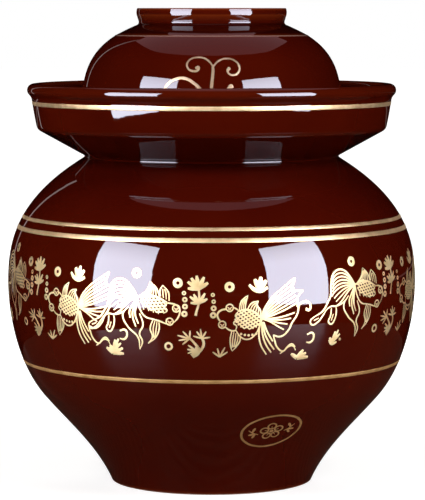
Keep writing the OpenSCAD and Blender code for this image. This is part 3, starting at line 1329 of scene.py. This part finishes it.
@dataclass(frozen=True)
class Gilder:
    """Turns strokes to low ridges of gold on a wall."""

    # The height of a stroke for each unit of half its width, and the most that it may be
    body: float = 0.06
    relief: float = 0.1
    resolution: int = 5

    def ridges(self, name: str, strokes: Sequence[Stroke]) -> bpy.types.Mesh:
        """Makes the strokes as one flat mesh in millimetres.

        Args:
            name: the mesh's name.
            strokes: what is painted.

        Returns:
            The mesh, with X along the wall, Y up it and Z out of it.
        """
        lines = bpy.data.curves.new(name, "CURVE")
        lines.dimensions = "3D"
        lines.bevel_depth = 1.0
        lines.bevel_resolution = 1
        lines.resolution_u = self.resolution
        lines.use_fill_caps = True
        for stroke in strokes:
            last = len(stroke.points) - 1
            spline = lines.splines.new("BEZIER")
            spline.bezier_points.add(last)
            spline.use_cyclic_u = stroke.closed
            for i, (knot, place) in enumerate(zip(spline.bezier_points, stroke.points)):
                knot.co = (*place, 0)
                knot.handle_left_type = knot.handle_right_type = "AUTO"
                share = stroke.end_shares[0] if i == 0 else stroke.end_shares[1] if i == last else 1.0
                knot.radius = stroke.width / 2 * share
        drawn = bpy.data.objects.new(name, lines)
        bpy.context.scene.collection.objects.link(drawn)
        mesh = bpy.data.meshes.new_from_object(drawn.evaluated_get(bpy.context.evaluated_depsgraph_get()))
        bpy.data.objects.remove(drawn)
        bpy.data.curves.remove(lines)
        for vertex in mesh.vertices:
            vertex.co.z = max(-self.relief, min(self.relief, vertex.co.z * self.body))
        for polygon in mesh.polygons:
            polygon.use_smooth = True
        mesh.set_sharp_from_angle(angle=CRISP_EDGE)
        return mesh


@dataclass(frozen=True)
class FriezeSpot:
    """Where one length of the frieze lies: its azimuth, its rise over the first one, and its tilt."""

    azimuth: float
    rise: float = 6.0
    tilt: float = 0.0


@dataclass
class Frieze:
    """Six lengths of a traditional goldfish frieze round the belly, with weed, coral and bubbles."""

    jar: Jar
    height: float = 125.0
    line_w: float = 0.9
    ray_w: float = 0.75
    spots: tuple[FriezeSpot, ...] = (
        FriezeSpot(-3.4, 0.0),
        FriezeSpot(58.5, 7.0, 3.4),
        FriezeSpot(120.2),
        FriezeSpot(181.9),
        FriezeSpot(243.6),
        FriezeSpot(305.3, 6.5, -3.4),
    )

    def bubbles(self) -> list[Stroke]:
        """Large rings, and two strings of small bubbles beside the weed.

        Returns:
            The rings.
        """
        large = [ring(p, 2.0, 2.0) for p in ((-12.4, 13.1), (18.3, 10.9), (-38.0, 18.5))]
        small = [ring((-18.6, -25.2), 2.0, 1.3)]
        left = [(-8.7, 7.2, 1.3), (-8.2, 3.3, 1.6), (-8.1, -0.8, 1.7), (-8.5, -5.2, 1.9)]
        right = [(8.4, 6.2, 1.2), (8.9, 2.2, 1.3), (8.9, -1.8, 1.7), (8.6, -5.9, 1.9)]
        strings = [ring((x, y), r * 0.66, r * 0.68) for x, y, r in left + right]
        return [*large, *small, *strings]

    def weed(self) -> list[Stroke]:
        """A stem with two tiers of leaves.

        Returns:
            Its strokes.
        """
        upper = [(-6.4, 10.0), (-6.5, 13.9), (-4.4, 16.2), (-1.2, 17.6), (3.2, 16.8), (5.6, 13.4)]
        lower = [(-4.8, 1.4), (-5.2, 5.2), (-2.9, 6.6), (3.8, 7.2), (5.2, 3.9)]
        stem = Stroke([(0, 10.5), (0.4, 5), (0, 0.5), (-1.2, -3.5), (-1.8, -6.2)], 1.3, (0.9, 1.2))
        return [stem, *leaves((0, 9.6), upper, 2.4, 0.8), *leaves((0.2, 1.2), lower, 1.9, 0.8)]

    def coral(self) -> list[Stroke]:
        """Two sprays on stems that grow from one knobbly foot.

        Returns:
            Its strokes.
        """
        left = [(-12.8, -18.3), (-9.6, -15.8), (-5.2, -15.3), (-12.2, -21.4), (-10.0, -23.9)]
        right = [(-3.4, -18.6), (-1.2, -15.8), (1.0, -14.3), (4.4, -15.8), (6.8, -19.3)]
        tufts = [(-6.6, -24.2), (-7.2, -26.9), (-6.9, -29.4)]
        stems = [
            Stroke([(-5.6, -19.8), (-3.0, -22.6), (-0.6, -25.6)], 1.4, (1, 1.3)),
            Stroke([(1.8, -19.4), (2.9, -22.8), (1.8, -26.4), (-1.4, -29.6)], 1.6, (0.9, 1.2)),
            Stroke([(-0.8, -25.4), (-1.2, -28.6), (-4.4, -31.2)], 3.8, (0.8, 0.8)),
        ]
        return [
            *stems,
            *leaves((-5.6, -20.2), left, 1.15, 0.8),
            *leaves((1.8, -20.0), right, 1.15, 0.8),
            *leaves((-2.0, -27.6), tufts, 1.3, 1.0),
        ]

    def clumps(self) -> list[Stroke]:
        """Grass tuft, leaf clumps and a curled shoot, between the fish.

        Returns:
            Their strokes.
        """
        tuft = leaves((12.6, -31.6), [(8.3, -28.4), (11.2, -26.2), (15.8, -25.5), (17.4, -28.4)], 1.1, 0.9)
        high = leaves((36.2, 9.2), [(33.4, 15.2), (37.2, 16.6), (40.4, 14.4)], 3.0, 1.0)
        high.append(Stroke([(30.0, 12.0), (32.8, 9.4), (36.6, 8.2), (41.4, 10.2)], 2.4, (0.6, 0.7)))
        low = leaves((62.2, -33.6), [(66.0, -28.6), (68.2, -30.6), (69.8, -33.4), (57.8, -30.8)], 2.4, 1.1)
        left = leaves((-55.0, -28.6), [(-57.4, -25.8), (-53.2, -22.4), (-50.8, -21.8), (-49.4, -24.4)], 1.9, 1.2)
        pebbles = [ring((-49.2, -27.8), 0.3, 1.2), Stroke([(-57.6, -27.0), (-55.2, -29.8), (-51.6, -29.2)], 2.2)]
        shoot = Stroke([(67.6, -19.2), (71.2, -18.4), (72.4, -21.2), (70.4, -24.2), (67.4, -24.0)], 1.3)
        return [*tuft, *high, *low, *left, *pebbles, shoot]

    def eye(self, middle: Place) -> list[Stroke]:
        """A goldfish's round eye under a heavy lid.

        Args:
            middle: the eye's middle.

        Returns:
            Its strokes.
        """
        x, y = middle
        lid = Stroke([(x - 1.3, y + 0.5), (x, y - 0.4), (x + 1.3, y + 0.5)], 0.6, (0.8, 0.8))
        low = Stroke([(x - 0.9, y - 0.7), (x, y - 1.2), (x + 0.9, y - 0.7)], 0.5, (0.8, 0.8))
        return [ring(middle, 2.1, 0.8), lid, low]

    def left_fish(self) -> list[Stroke]:
        """The goldfish that swims to the left, its tail spread wide behind it.

        Returns:
            Its strokes.
        """
        line, ray = self.line_w, self.ray_w
        root = (37.8, -8.6)
        head = [
            Stroke([(16.2, -2.2), (13.2, -3.0), (11.3, -4.8), (11.2, -6.8), (12.6, -9.4)], 1.1, (1, 0.9)),
            Stroke([(20.4, -1.2), (22.4, -2.2), (23.8, -3.4)], 1.0),
            Stroke([(15.8, -13.0), (18.4, -14.9), (21.2, -15.4), (22.4, -14.8)], 1.0),
            Stroke([(23.8, -3.4), (21.8, -6.4), (23.2, -8.4), (20.8, -10.6), (22.6, -12.6), (22.0, -15.0)], 0.8),
        ]
        back = Stroke([(23.8, -3.4), (28.2, -2.6), (33.2, -4.2), root], 1.0, (0.9, 1.2))
        belly = [(22.2, -15.2), (25.4, -19.4), (29.4, -20.8), (33.4, -18.6), (36.2, -13.8), root]
        beads = [ring((25.4 + 2.3 * k, -17.4 - 0.9 * math.sin(math.pi * k / 4)), 0.35, 0.8) for k in range(5)]
        front_fin = ([(24.0, -3.4), (25.4, 2.4), (29.2, 5.8)], [(27.6, -2.8), (28.0, 1.6), (29.2, 5.8)])
        rear_fin = ([(28.8, -3.0), (31.4, 1.0), (35.6, 2.4)], [(36.8, -7.0), (36.8, -3.4), (34.8, -0.2)])
        belly_fin = (
            [(19.8, -15.4), (18.9, -21.0), (19.4, -25.6), (20.2, -28.0)],
            [(24.8, -18.2), (24.8, -21.4), (22.9, -24.8), (20.2, -28.0)],
        )
        fins = []
        for (first, last), count, reach in ((front_fin, 2, 0.5), (rear_fin, 4, 0.75), (belly_fin, 3, 0.1)):
            fins += [Stroke(first, line), Stroke(last, line), *between(first, last, count, ray, reach)]
        fins.append(Stroke([(35.6, 2.4), (34.8, -0.2), (36.8, -3.2), (37.4, -7.2)], line))
        top = [root, (38.8, -3.4), (42.4, 2.4), (47.4, 7.2), (52.8, 11.2), (58.6, 15.4)]
        flank = [root, (42.6, -8.0), (47.6, -7.0), (52.6, -5.4), (57.4, -3.4), (62.0, -1.4)]
        foot = [root, (41.8, -10.4), (44.6, -12.8), (47.0, -15.4), (48.8, -17.6), (50.0, -19.4)]
        notch = [(58.6, 15.4), (57.6, 11.6), (56.4, 8.2), (59.6, 7.6), (63.8, 7.6)]
        edge = [(63.8, 7.6), (60.0, 3.0), (60.9, -2.0), (60.2, -6.4)]
        edge += [(56.8, -11.8), (55.2, -15.4), (50.2, -19.6), (45.2, -18.6)]
        tail = [
            Stroke(top, 1.0, (1.2, 1.0)),
            Stroke(notch, 1.0, (1.0, 1.0)),
            Stroke(edge, 1.1, (0.8, 0.8)),
            *between(top, flank, 6, 0.95, 0.72),
            *between(flank, foot, 4, 0.9, 0.7),
        ]
        curl = [(59.8, -1.8), (62.8, 0.2), (66.2, 0.9), (68.8, -1.2), (68.2, -4.2), (65.8, -3.6)]
        sweep = painted(1.0, (1.2, 0.8), [(37.4, -10.0), (36.3, -15.0), (37.6, -24.0), (41.6, -30.6)])
        sweep += painted(
            1.0,
            (1.2, 0.9),
            [(37.9, -10.4), (38.6, -18.0), (41.0, -24.4), (44.6, -29.4)],
            [(38.4, -10.4), (40.0, -17.6), (42.8, -22.8), (46.4, -27.6)],
            [(38.8, -10.4), (41.4, -16.4), (45.2, -22.4)],
        )
        upper_ribbon = [(45.4, -18.8), (46.4, -22.0), (48.4, -26.4), (52.4, -28.8)]
        upper_ribbon += [(54.6, -26.6), (57.6, -24.6), (60.2, -26.4)]
        lower_ribbon = [(50.4, -30.4), (53.4, -28.2), (56.0, -26.0), (58.8, -26.0), (60.6, -28.6)]
        ribbons = [Stroke(curl, 1.4, (0.9, 1.3)), *sweep, Stroke(upper_ribbon, 1.0), Stroke(lower_ribbon, 0.9)]
        eyes = [*self.eye((18.4, -1.5)), *self.eye((14.0, -11.6))]
        net = scales((29.6, -8.6), 8.3, 5.9, -8, 2.75, 0.95)
        return [*head, back, Stroke(belly, line, (0.8, 1.2)), *beads, *net, *fins, *tail, *ribbons, *eyes]

    def right_fish(self) -> list[Stroke]:
        """The goldfish that swims to the right, its tail arched over two trailing streamers.

        Returns:
            Its strokes.
        """
        line, ray = self.line_w, self.ray_w
        root = (-37.4, 4.2)
        head = [
            Stroke([(-18.6, 1.2), (-14.8, 0.6), (-12.0, -1.0), (-11.2, -4.0), (-12.4, -7.6), (-15.0, -10.6)], 1.0),
            Stroke([(-19.4, -11.4), (-24.0, -9.8), (-27.0, -8.9)], 1.0),
            Stroke([(-18.8, 1.0), (-20.4, -1.6), (-18.9, -3.2), (-21.2, -5.2)], 0.8),
        ]
        back = Stroke([root, (-32.6, 5.4), (-26.0, 5.0), (-18.8, 1.4)], 1.0, (1.2, 0.9))
        belly = Stroke([root, (-35.8, -2.6), (-32.4, -7.4), (-26.6, -9.0)], line, (1.2, 0.8))
        hem = [Stroke([(-33.8 + 3.1 * k, -0.6 - 1.0 * k), (-33.2 + 3.0 * k, -3.2 - 0.8 * k)], 0.8) for k in range(4)]
        front_fin = ([(-22.8, 5.0), (-23.2, 8.4), (-21.5, 11.6)], [(-17.6, 2.4), (-18.0, 7.4), (-21.5, 11.6)])
        rear_fin = ([(-35.4, 5.0), (-31.2, 8.6), (-29.2, 13.6)], [(-23.4, 4.8), (-25.4, 9.8), (-29.2, 13.6)])
        belly_fin = (
            [(-27.6, -9.0), (-29.6, -14.6), (-28.4, -19.6), (-31.4, -23.8)],
            [(-24.0, -10.6), (-24.0, -14.6), (-26.2, -19.6), (-31.4, -23.8)],
        )
        long_fin = (
            [(-43.0, -1.6), (-47.0, -7.0), (-43.8, -14.0), (-37.6, -20.4), (-37.0, -27.6)],
            [(-36.0, -5.6), (-34.0, -12.4), (-36.6, -18.0), (-35.0, -22.6), (-37.0, -27.6)],
        )
        fins = []
        for (first, last), count, reach in ((front_fin, 2, 0.4), (rear_fin, 5, 0.6), (belly_fin, 2, 0.1)):
            fins += [Stroke(first, line), Stroke(last, line), *between(first, last, count, ray, reach)]
        fins += [Stroke(long_fin[0], 1.0), Stroke(long_fin[1], 1.0)]
        petals = painted(
            1.1,
            (0.7, 0.8),
            [root, (-40.6, -1.0), (-42.4, -4.4), (-42.2, -8.4)],
            [root, (-39.4, -1.6), (-40.6, -6.4), (-38.8, -13.6)],
            [root, (-38.4, -1.8), (-38.8, -6.4), (-37.0, -11.8)],
        )
        arch = [root, (-41.0, 10.0), (-44.6, 13.6), (-48.8, 14.8), (-53.0, 13.2), (-55.4, 9.4)]
        crease = [root, (-42.0, 4.6), (-46.4, 4.6), (-50.4, 3.6), (-53.6, 1.8), (-56.0, -0.6)]
        under = [root, (-41.6, 2.0), (-44.8, -0.6), (-47.6, -3.4), (-50.0, -5.4), (-52.2, -6.6)]
        edge = [(-55.4, 9.4), (-56.2, 4.8), (-56.6, 0.2), (-59.4, -4.6), (-62.8, -8.8), (-68.4, -11.4)]
        tail = [
            Stroke(arch, 1.1, (1.3, 1)),
            Stroke(edge, 1.1),
            *between(arch, crease, 4, 0.9, 0.78),
            Stroke(crease, 0.9, (0.8, 0.9)),
            *between(crease, under, 2, 0.8, 0.75),
            Stroke(under, 1.0, (1.2, 1)),
        ]
        outer = [(-68.4, -11.4), (-71.4, -13.8), (-70.4, -16.2), (-66.6, -15.2), (-63.0, -11.8), (-60.0, -8.0)]
        hanging = [(-56.4, -7.6), (-57.2, -12.6), (-58.6, -15.4), (-56.6, -17.4)]
        hanging += [(-54.0, -14.8), (-52.8, -10.4), (-53.0, -7.2)]
        streamers = [
            Stroke(outer, 1.0),
            Stroke([(-60.0, -8.0), (-56.4, -6.6), (-53.0, -6.8), (-47.6, -5.4), (-43.6, -2.4)], 1.0),
            Stroke(hanging, 1.0),
            Stroke([(-69.0, -13.8), (-65.6, -12.6)], 1.2),
            Stroke([(-56.6, -15.2), (-55.0, -11.4)], 1.1),
        ]
        eyes = [*self.eye((-13.4, -2.0)), *self.eye((-17.4, -10.0))]
        net = scales((-27.3, 0.9), 8.8, 4.7, -24, 3.0, 0.9)
        return [*head, back, belly, *hem, *net, *fins, *petals, *tail, *streamers, *eyes]

    def build(self) -> None:
        """Lays the six lengths round the belly."""
        wall = Wall(self.jar.side)
        strokes = [*self.bubbles(), *self.weed(), *self.coral(), *self.clumps()]
        strokes += [*self.left_fish(), *self.right_fish()]
        for number, spot in enumerate(self.spots, start=1):
            name = f"goldfish_frieze_{number}"
            mesh = Gilder().ridges(name, strokes)
            wall.lay(mesh, spot.azimuth, wall.length_at(self.height + spot.rise), spot.tilt)
            seat(piece_of(name, mesh, [self.jar.finishes.painted_gilding]), Body.JAR, Slot.GILDING)


@dataclass
class LidScrolls:
    """Scrolled tendrils painted on the lid's dome, three times round it."""

    lid: Lid
    height: float = 250.0
    count: int = 3

    def strokes(self) -> list[Stroke]:
        """A stem that parts into two volutes, with a tendril and a bud beside it.

        Returns:
            The strokes.
        """
        stem = [(-0.6, -9.0), (-0.3, 0.0), (0.5, 8.0), (0.9, 12.6), (0.7, 16.6)]
        left = [(0.8, 15.4), (-1.6, 18.8), (-5.2, 21.2), (-9.3, 21.7)]
        left += [(-13.8, 20.4), (-15.9, 17.2), (-14.6, 13.6), (-11.4, 12.2)]
        right = [(0.8, 15.0), (4.6, 19.2), (9.8, 20.8), (14.8, 19.6), (17.7, 15.8)]
        right += [(16.9, 11.6), (13.5, 9.8), (10.6, 11.0), (10.2, 13.8)]
        tendril = [(-2.6, -6.8), (-5.2, -0.8), (-10.0, 4.2), (-16.7, 7.8)]
        tendril += [(-22.7, 7.2), (-27.6, 3.8), (-29.6, -0.2)]
        return [
            Stroke(stem, 1.8, (0.6, 0.8)),
            Stroke(left, 1.2, (0.8, 1.2)),
            Stroke([(-11.4, 12.2), (-9.0, 12.8), (-8.2, 14.6), (-9.4, 15.4)], 1.5, (1, 1)),
            Stroke(right, 1.2, (0.8, 1.3)),
            ring((11.0, 14.0), 0.5, 1.2),
            ring((-9.6, 14.6), 0.4, 1.0),
            Stroke(tendril, 1.8, (0.6, 0.5)),
            Stroke([(3.8, -5.0), (7.0, -0.6), (10.6, 2.0)], 1.4, (0.6, 1)),
            ring((11.8, 2.7), 0.8, 1.5),
            Stroke([(8.0, -8.0), (13.6, -3.6), (17.8, -0.8), (22.0, 0.8)], 1.3, (0.6, 0.8)),
        ]

    def build(self) -> None:
        """Lays the scrolls round the dome."""
        wall = Wall(self.lid.dome)
        for number in range(self.count):
            name = f"lid_scroll_{number + 1}"
            mesh = Gilder().ridges(name, self.strokes())
            wall.lay(mesh, 360 / self.count * number, wall.length_at(self.height))
            seat(piece_of(name, mesh, [self.lid.jar.finishes.pale_gilding]), Body.LID, Slot.GILDING)


@dataclass
class BlossomOval:
    """Small oval with a plum blossom between two sprigs, above the foot."""

    jar: Jar
    azimuth: float = 22.2
    height: float = 43.9
    tilt: float = 9.0
    half_width: float = 19.0
    half_height: float = 14.4
    petals: int = 5

    def strokes(self) -> list[Stroke]:
        """The oval's line, the blossom and the sprigs.

        Returns:
            The strokes.
        """
        turns = [math.tau * k / 12 for k in range(12)]
        oval = [(self.half_width * math.cos(t), self.half_height * math.sin(t)) for t in turns]
        found = [Stroke(oval, 1.5, (1, 1), True), ring((0, 0), 0.7, 1.2)]
        for k in range(self.petals):
            turn = math.radians(90 + 360 / self.petals * k)
            across, up = math.cos(turn), math.sin(turn)
            found.append(ring((4.7 * across, 4.7 * up), 2.5, 1.0))
            found.append(Stroke([(2.0 * across, 2.0 * up), (4.6 * across, 4.6 * up)], 0.8))
        for side in (-1, 1):
            stem = [(side * 8.4, -1.6), (side * 11.6, 0.4), (side * 14.4, 3.6)]
            found.append(Stroke(stem, 1.0))
            found += leaves((side * 10.4, -0.6), [(side * 12.2, -4.2), (side * 14.6, -1.0)], 1.8, 0.6)
            found += leaves((side * 12.2, 1.2), [(side * 10.4, 5.2)], 1.8, 0.6)
        return found

    def build(self) -> None:
        """Lays the oval on the lower wall."""
        wall = Wall(self.jar.side)
        mesh = Gilder().ridges("blossom_oval", self.strokes())
        wall.lay(mesh, self.azimuth, wall.length_at(self.height), self.tilt)
        seat(piece_of("blossom_oval", mesh, [self.jar.finishes.dull_gilding]), Body.JAR, Slot.GILDING)


@dataclass(frozen=True)
class Softbox:
    """A glowing panel that shows only as a reflection. Sizes in metres, and glow as its strength."""

    name: str
    middle: tuple[float, float, float]
    aim: tuple[float, float, float]
    width: float
    height: float
    glow: float
    tint: str = "#E8EBFF"
    # The rounding of its corners, or 0 for a panel whose lower half is a half oval
    corner: float = 0.015
    # Its upper edge's width beside its lower one's, and how far the upper edge is moved across
    top_share: float = 1.0
    top_shift: float = 0.0
    # How bright its upper edge is beside its lower part
    upper_share: float = 0.7
    # The stretch of its height, from its middle up, in which its glow changes
    fade: Place = (0.1, 0.5)

    def build(self) -> None:
        """Makes the panel, which lights no matt surface and casts no shadow."""
        shape = bmesh.new()
        if self.corner:
            bmesh.ops.create_grid(shape, x_segments=1, y_segments=1, size=0.5)
        else:
            bmesh.ops.create_circle(shape, cap_ends=True, segments=96, radius=0.5)
            for vertex in shape.verts:
                if vertex.co.y > 0:
                    vertex.co.xy /= 2 * max(abs(vertex.co.x), abs(vertex.co.y))
        bmesh.ops.scale(shape, vec=(self.width, self.height, 1), verts=shape.verts)
        if self.corner:
            for vertex in shape.verts:
                if vertex.co.y > 0:
                    vertex.co.x = vertex.co.x * self.top_share + self.top_shift
            bmesh.ops.bevel(
                shape,
                geom=shape.verts[:],
                offset=self.corner,
                segments=4,
                profile=0.5,
                affect="VERTICES",
                material=-1,
            )
        material, tree = new_material(self.name)
        up = add_node(tree, "ShaderNodeSeparateXYZ", {"Vector": object_place(tree)}).outputs["Y"]
        low, high = self.fade
        strength = ramp(tree, up, (low * self.height, high * self.height), (self.glow, self.glow * self.upper_share))
        light = add_node(tree, "ShaderNodeEmission", {"Color": linear(self.tint), "Strength": strength})
        add_node(tree, "ShaderNodeOutputMaterial", {"Surface": light.outputs["Emission"]})
        panel = piece_from(self.name, shape, [material])
        facing = (Vector(self.aim) - Vector(self.middle)).normalized()
        panel.matrix_world = Matrix.Translation(self.middle) @ facing.to_track_quat("Z", "Y").to_matrix().to_4x4()
        only_in_reflections(panel)


def only_in_reflections(card: bpy.types.Object) -> None:
    """Hides a studio card from all rays but glossy ones, so that it shows in reflections alone."""
    for rays in ("camera", "diffuse", "transmission", "volume_scatter", "shadow"):
        setattr(card, f"visible_{rays}", False)


@dataclass
class Studio:
    """Camera, lamps, softboxes, dark cards and a pale floor. Sizes in metres."""

    image_width: int = 425
    image_height: int = 500
    sensor: float = 36.0
    # Measured on the picture: focal length and the crock's axis in pixels, and the camera's place
    focal_px: float = 2754.4
    axis_px: float = 211.6
    camera_back: float = 1.7471
    camera_up: float = 0.2991
    camera_pitch: float = 4.99
    room_radius: float = 2.6
    floor_radius: float = 12.0
    black_floor_share: float = 0.9
    table_radius: float = 0.43
    table_shift: float = 0.035
    # The black floor lies this far above the pale one, and the table twice as far
    card_lift: float = 0.0002
    year_ring: float = 0.006
    # The pale floor glows by itself, from its lower to its upper strength between these distances
    shadow_reach: Place = (0.25, 0.8)
    floor_glow: Place = (0.72, 1.0)
    ambient: float = 0.2
    lamp_aim: tuple[float, float, float] = (0, 0, 0.15)
    lamp_watts: float = 12.0
    window_glow: float = 18.5

    def camera(self) -> None:
        """Puts the camera in front, level with the lid and tilted down a little."""
        lens = bpy.data.cameras.new("camera")
        lens.sensor_width = self.sensor
        lens.lens = self.focal_px * self.sensor / self.image_height
        lens.shift_x = (self.image_width / 2 - self.axis_px) / self.image_height
        camera = bpy.data.objects.new("camera", lens)
        camera.location = (0, -self.camera_back, self.camera_up)
        camera.rotation_euler = (math.radians(90 - self.camera_pitch), 0, 0)
        bpy.context.scene.collection.objects.link(camera)
        bpy.context.scene.camera = camera

    def world(self) -> None:
        """White behind the crock and in its reflections, and a plain level of light from all round."""
        world = bpy.data.worlds.new("studio")
        bpy.context.scene.world = world
        world.use_nodes = True
        tree = world.node_tree
        tree.nodes.clear()
        path = add_node(tree, "ShaderNodeLightPath").outputs
        seen = calculate(tree, "ADD", path["Is Camera Ray"], path["Is Glossy Ray"])
        shown = calculate(tree, "ADD", seen, path["Is Transmission Ray"], clamp=True)
        plain = add_node(tree, "ShaderNodeBackground", {"Color": linear("#FFFAF4"), "Strength": self.ambient})
        white = add_node(tree, "ShaderNodeBackground", {"Color": linear("#FFFFFF"), "Strength": 1.0})
        mixed = add_node(
            tree,
            "ShaderNodeMixShader",
            {0: shown, 1: plain.outputs["Background"], 2: white.outputs["Background"]},
        )
        add_node(tree, "ShaderNodeOutputWorld", {"Surface": mixed.outputs["Shader"]})

    def lamp(self, name: str, place: tuple[float, float, float], size: float) -> None:
        """Adds a soft lamp that doesn't show in the glaze.

        Args:
            name: the lamp's name.
            place: where it hangs.
            size: how wide it is.
        """
        light = bpy.data.lights.new(name, "AREA")
        light.shape, light.size, light.energy = "DISK", size, self.lamp_watts
        lamp = bpy.data.objects.new(name, light)
        lamp.location = place
        lamp.rotation_euler = (Vector(self.lamp_aim) - Vector(place)).to_track_quat("-Z", "Y").to_euler()
        lamp.visible_glossy = False
        bpy.context.scene.collection.objects.link(lamp)

    def floor(self) -> None:
        """A pale floor that keeps the crock's shadow and is white elsewhere."""
        shape = bmesh.new()
        bmesh.ops.create_circle(shape, cap_ends=True, segments=64, radius=self.floor_radius)
        material, tree = new_material("white_floor")
        camera_ray = add_node(tree, "ShaderNodeLightPath").outputs["Is Camera Ray"]
        away = add_node(tree, "ShaderNodeVectorMath", {0: object_place(tree)}, operation="LENGTH").outputs["Value"]
        glow = ramp(tree, away, self.shadow_reach, self.floor_glow)
        close_material(
            tree,
            {
                "Base Color": linear("#BEBCBA"),
                "Roughness": 0.9,
                "Specular IOR Level": 0.0,
                "Emission Color": linear("#FFFFFF"),
                "Emission Strength": calculate(tree, "MULTIPLY", camera_ray, glow),
            },
        )
        piece_from("floor", shape, [material])

    def cards(self) -> None:
        """Black cloth round the set and a dark table of wood, which only the glaze and the gold see."""
        shape = bmesh.new()
        bmesh.ops.create_uvsphere(shape, u_segments=48, v_segments=24, radius=self.room_radius)
        material, tree = new_material("black_cloth")
        close_material(tree, {"Base Color": linear("#050404"), "Roughness": 1.0, "Specular IOR Level": 0.0})
        only_in_reflections(piece_from("black_cloth", shape, [material]))
        floors = (
            ("black_floor", self.room_radius * self.black_floor_share, 0, self.card_lift, material),
            ("dark_table", self.table_radius, self.table_shift, 2 * self.card_lift, self.wood()),
        )
        for name, radius, shift, lift, finish in floors:
            shape = bmesh.new()
            place = Matrix.Translation((shift, 0, lift))
            bmesh.ops.create_circle(shape, cap_ends=True, segments=96, radius=radius, matrix=place)
            only_in_reflections(piece_from(name, shape, [finish]))

    def wood(self) -> Material:
        """Dark oiled wood with fine year rings.

        Returns:
            The material.
        """
        material, tree = new_material("oiled_wood")
        # The heart of the wood lies in front of the crock
        heart = {0: object_place(tree), 1: (-0.01, 0.22, 0)}
        place = add_node(tree, "ShaderNodeVectorMath", heart, operation="ADD").outputs[0]
        bends = {"Distortion": 2.5, "Detail Scale": 1.0}
        rings = waves(tree, place, self.year_ring, bends, wave_type="RINGS", rings_direction="Z")
        close_material(
            tree,
            {
                "Base Color": blend(tree, rings, linear("#2E251F"), linear("#4A3C33")),
                "Roughness": 0.3,
                "Specular IOR Level": 0.08,
            },
        )
        return material

    def softboxes(self) -> None:
        """Two tall windows in front at the sides, a dim panel overhead and a thin strip behind at the left."""
        glow = self.window_glow
        left, right = (-0.563, -0.527, 0.31), (0.5505, -0.5426, 0.32)
        over, rear = (0, 0.18, 1.1), (-0.62, 0.9, 0.64)
        Softbox("left_window", left, (0, -0.07, 0.31), 0.44, 0.62, glow, top_share=1.12).build()
        Softbox("right_window", right, (0, -0.07, 0.32), 0.46, 0.59, glow, top_share=1.08, top_shift=0.02).build()
        Softbox("overhead_panel", over, (0, 0.18, 0), 1.1, 1.08, 0.5, "#FFC9D2", corner=0, upper_share=1.0).build()
        Softbox("rear_strip", rear, (0, 0, 0.64), 0.035, 1.28, 0.85, "#F4E4E4", upper_share=0.4).build()

    def build(self) -> None:
        """Sets the studio up."""
        self.camera()
        self.world()
        self.lamp("left_key", (-0.9, -0.95, 1.15), 0.6)
        self.lamp("right_key", (0.9, -0.95, 1.15), 0.6)
        self.lamp("back", (0.3, 1.5, 0.6), 0.9)
        self.floor()
        self.cards()
        self.softboxes()
        bpy.context.scene.view_settings.view_transform = "Standard"


def main() -> None:
    """Builds the studio, then the crock piece by piece."""
    logging.basicConfig(level=logging.INFO, format="%(message)s")
    Studio().build()
    finishes = Finishes.build()
    jar = Jar(finishes)
    jar.build()
    GiltLines(jar).build()
    lid = Lid(jar)
    lid.build()
    InnerLid(jar).build()
    PressingStones(jar).build()
    Frieze(jar).build()
    LidScrolls(lid).build()
    BlossomOval(jar).build()


if __name__ == "__main__":
    main()
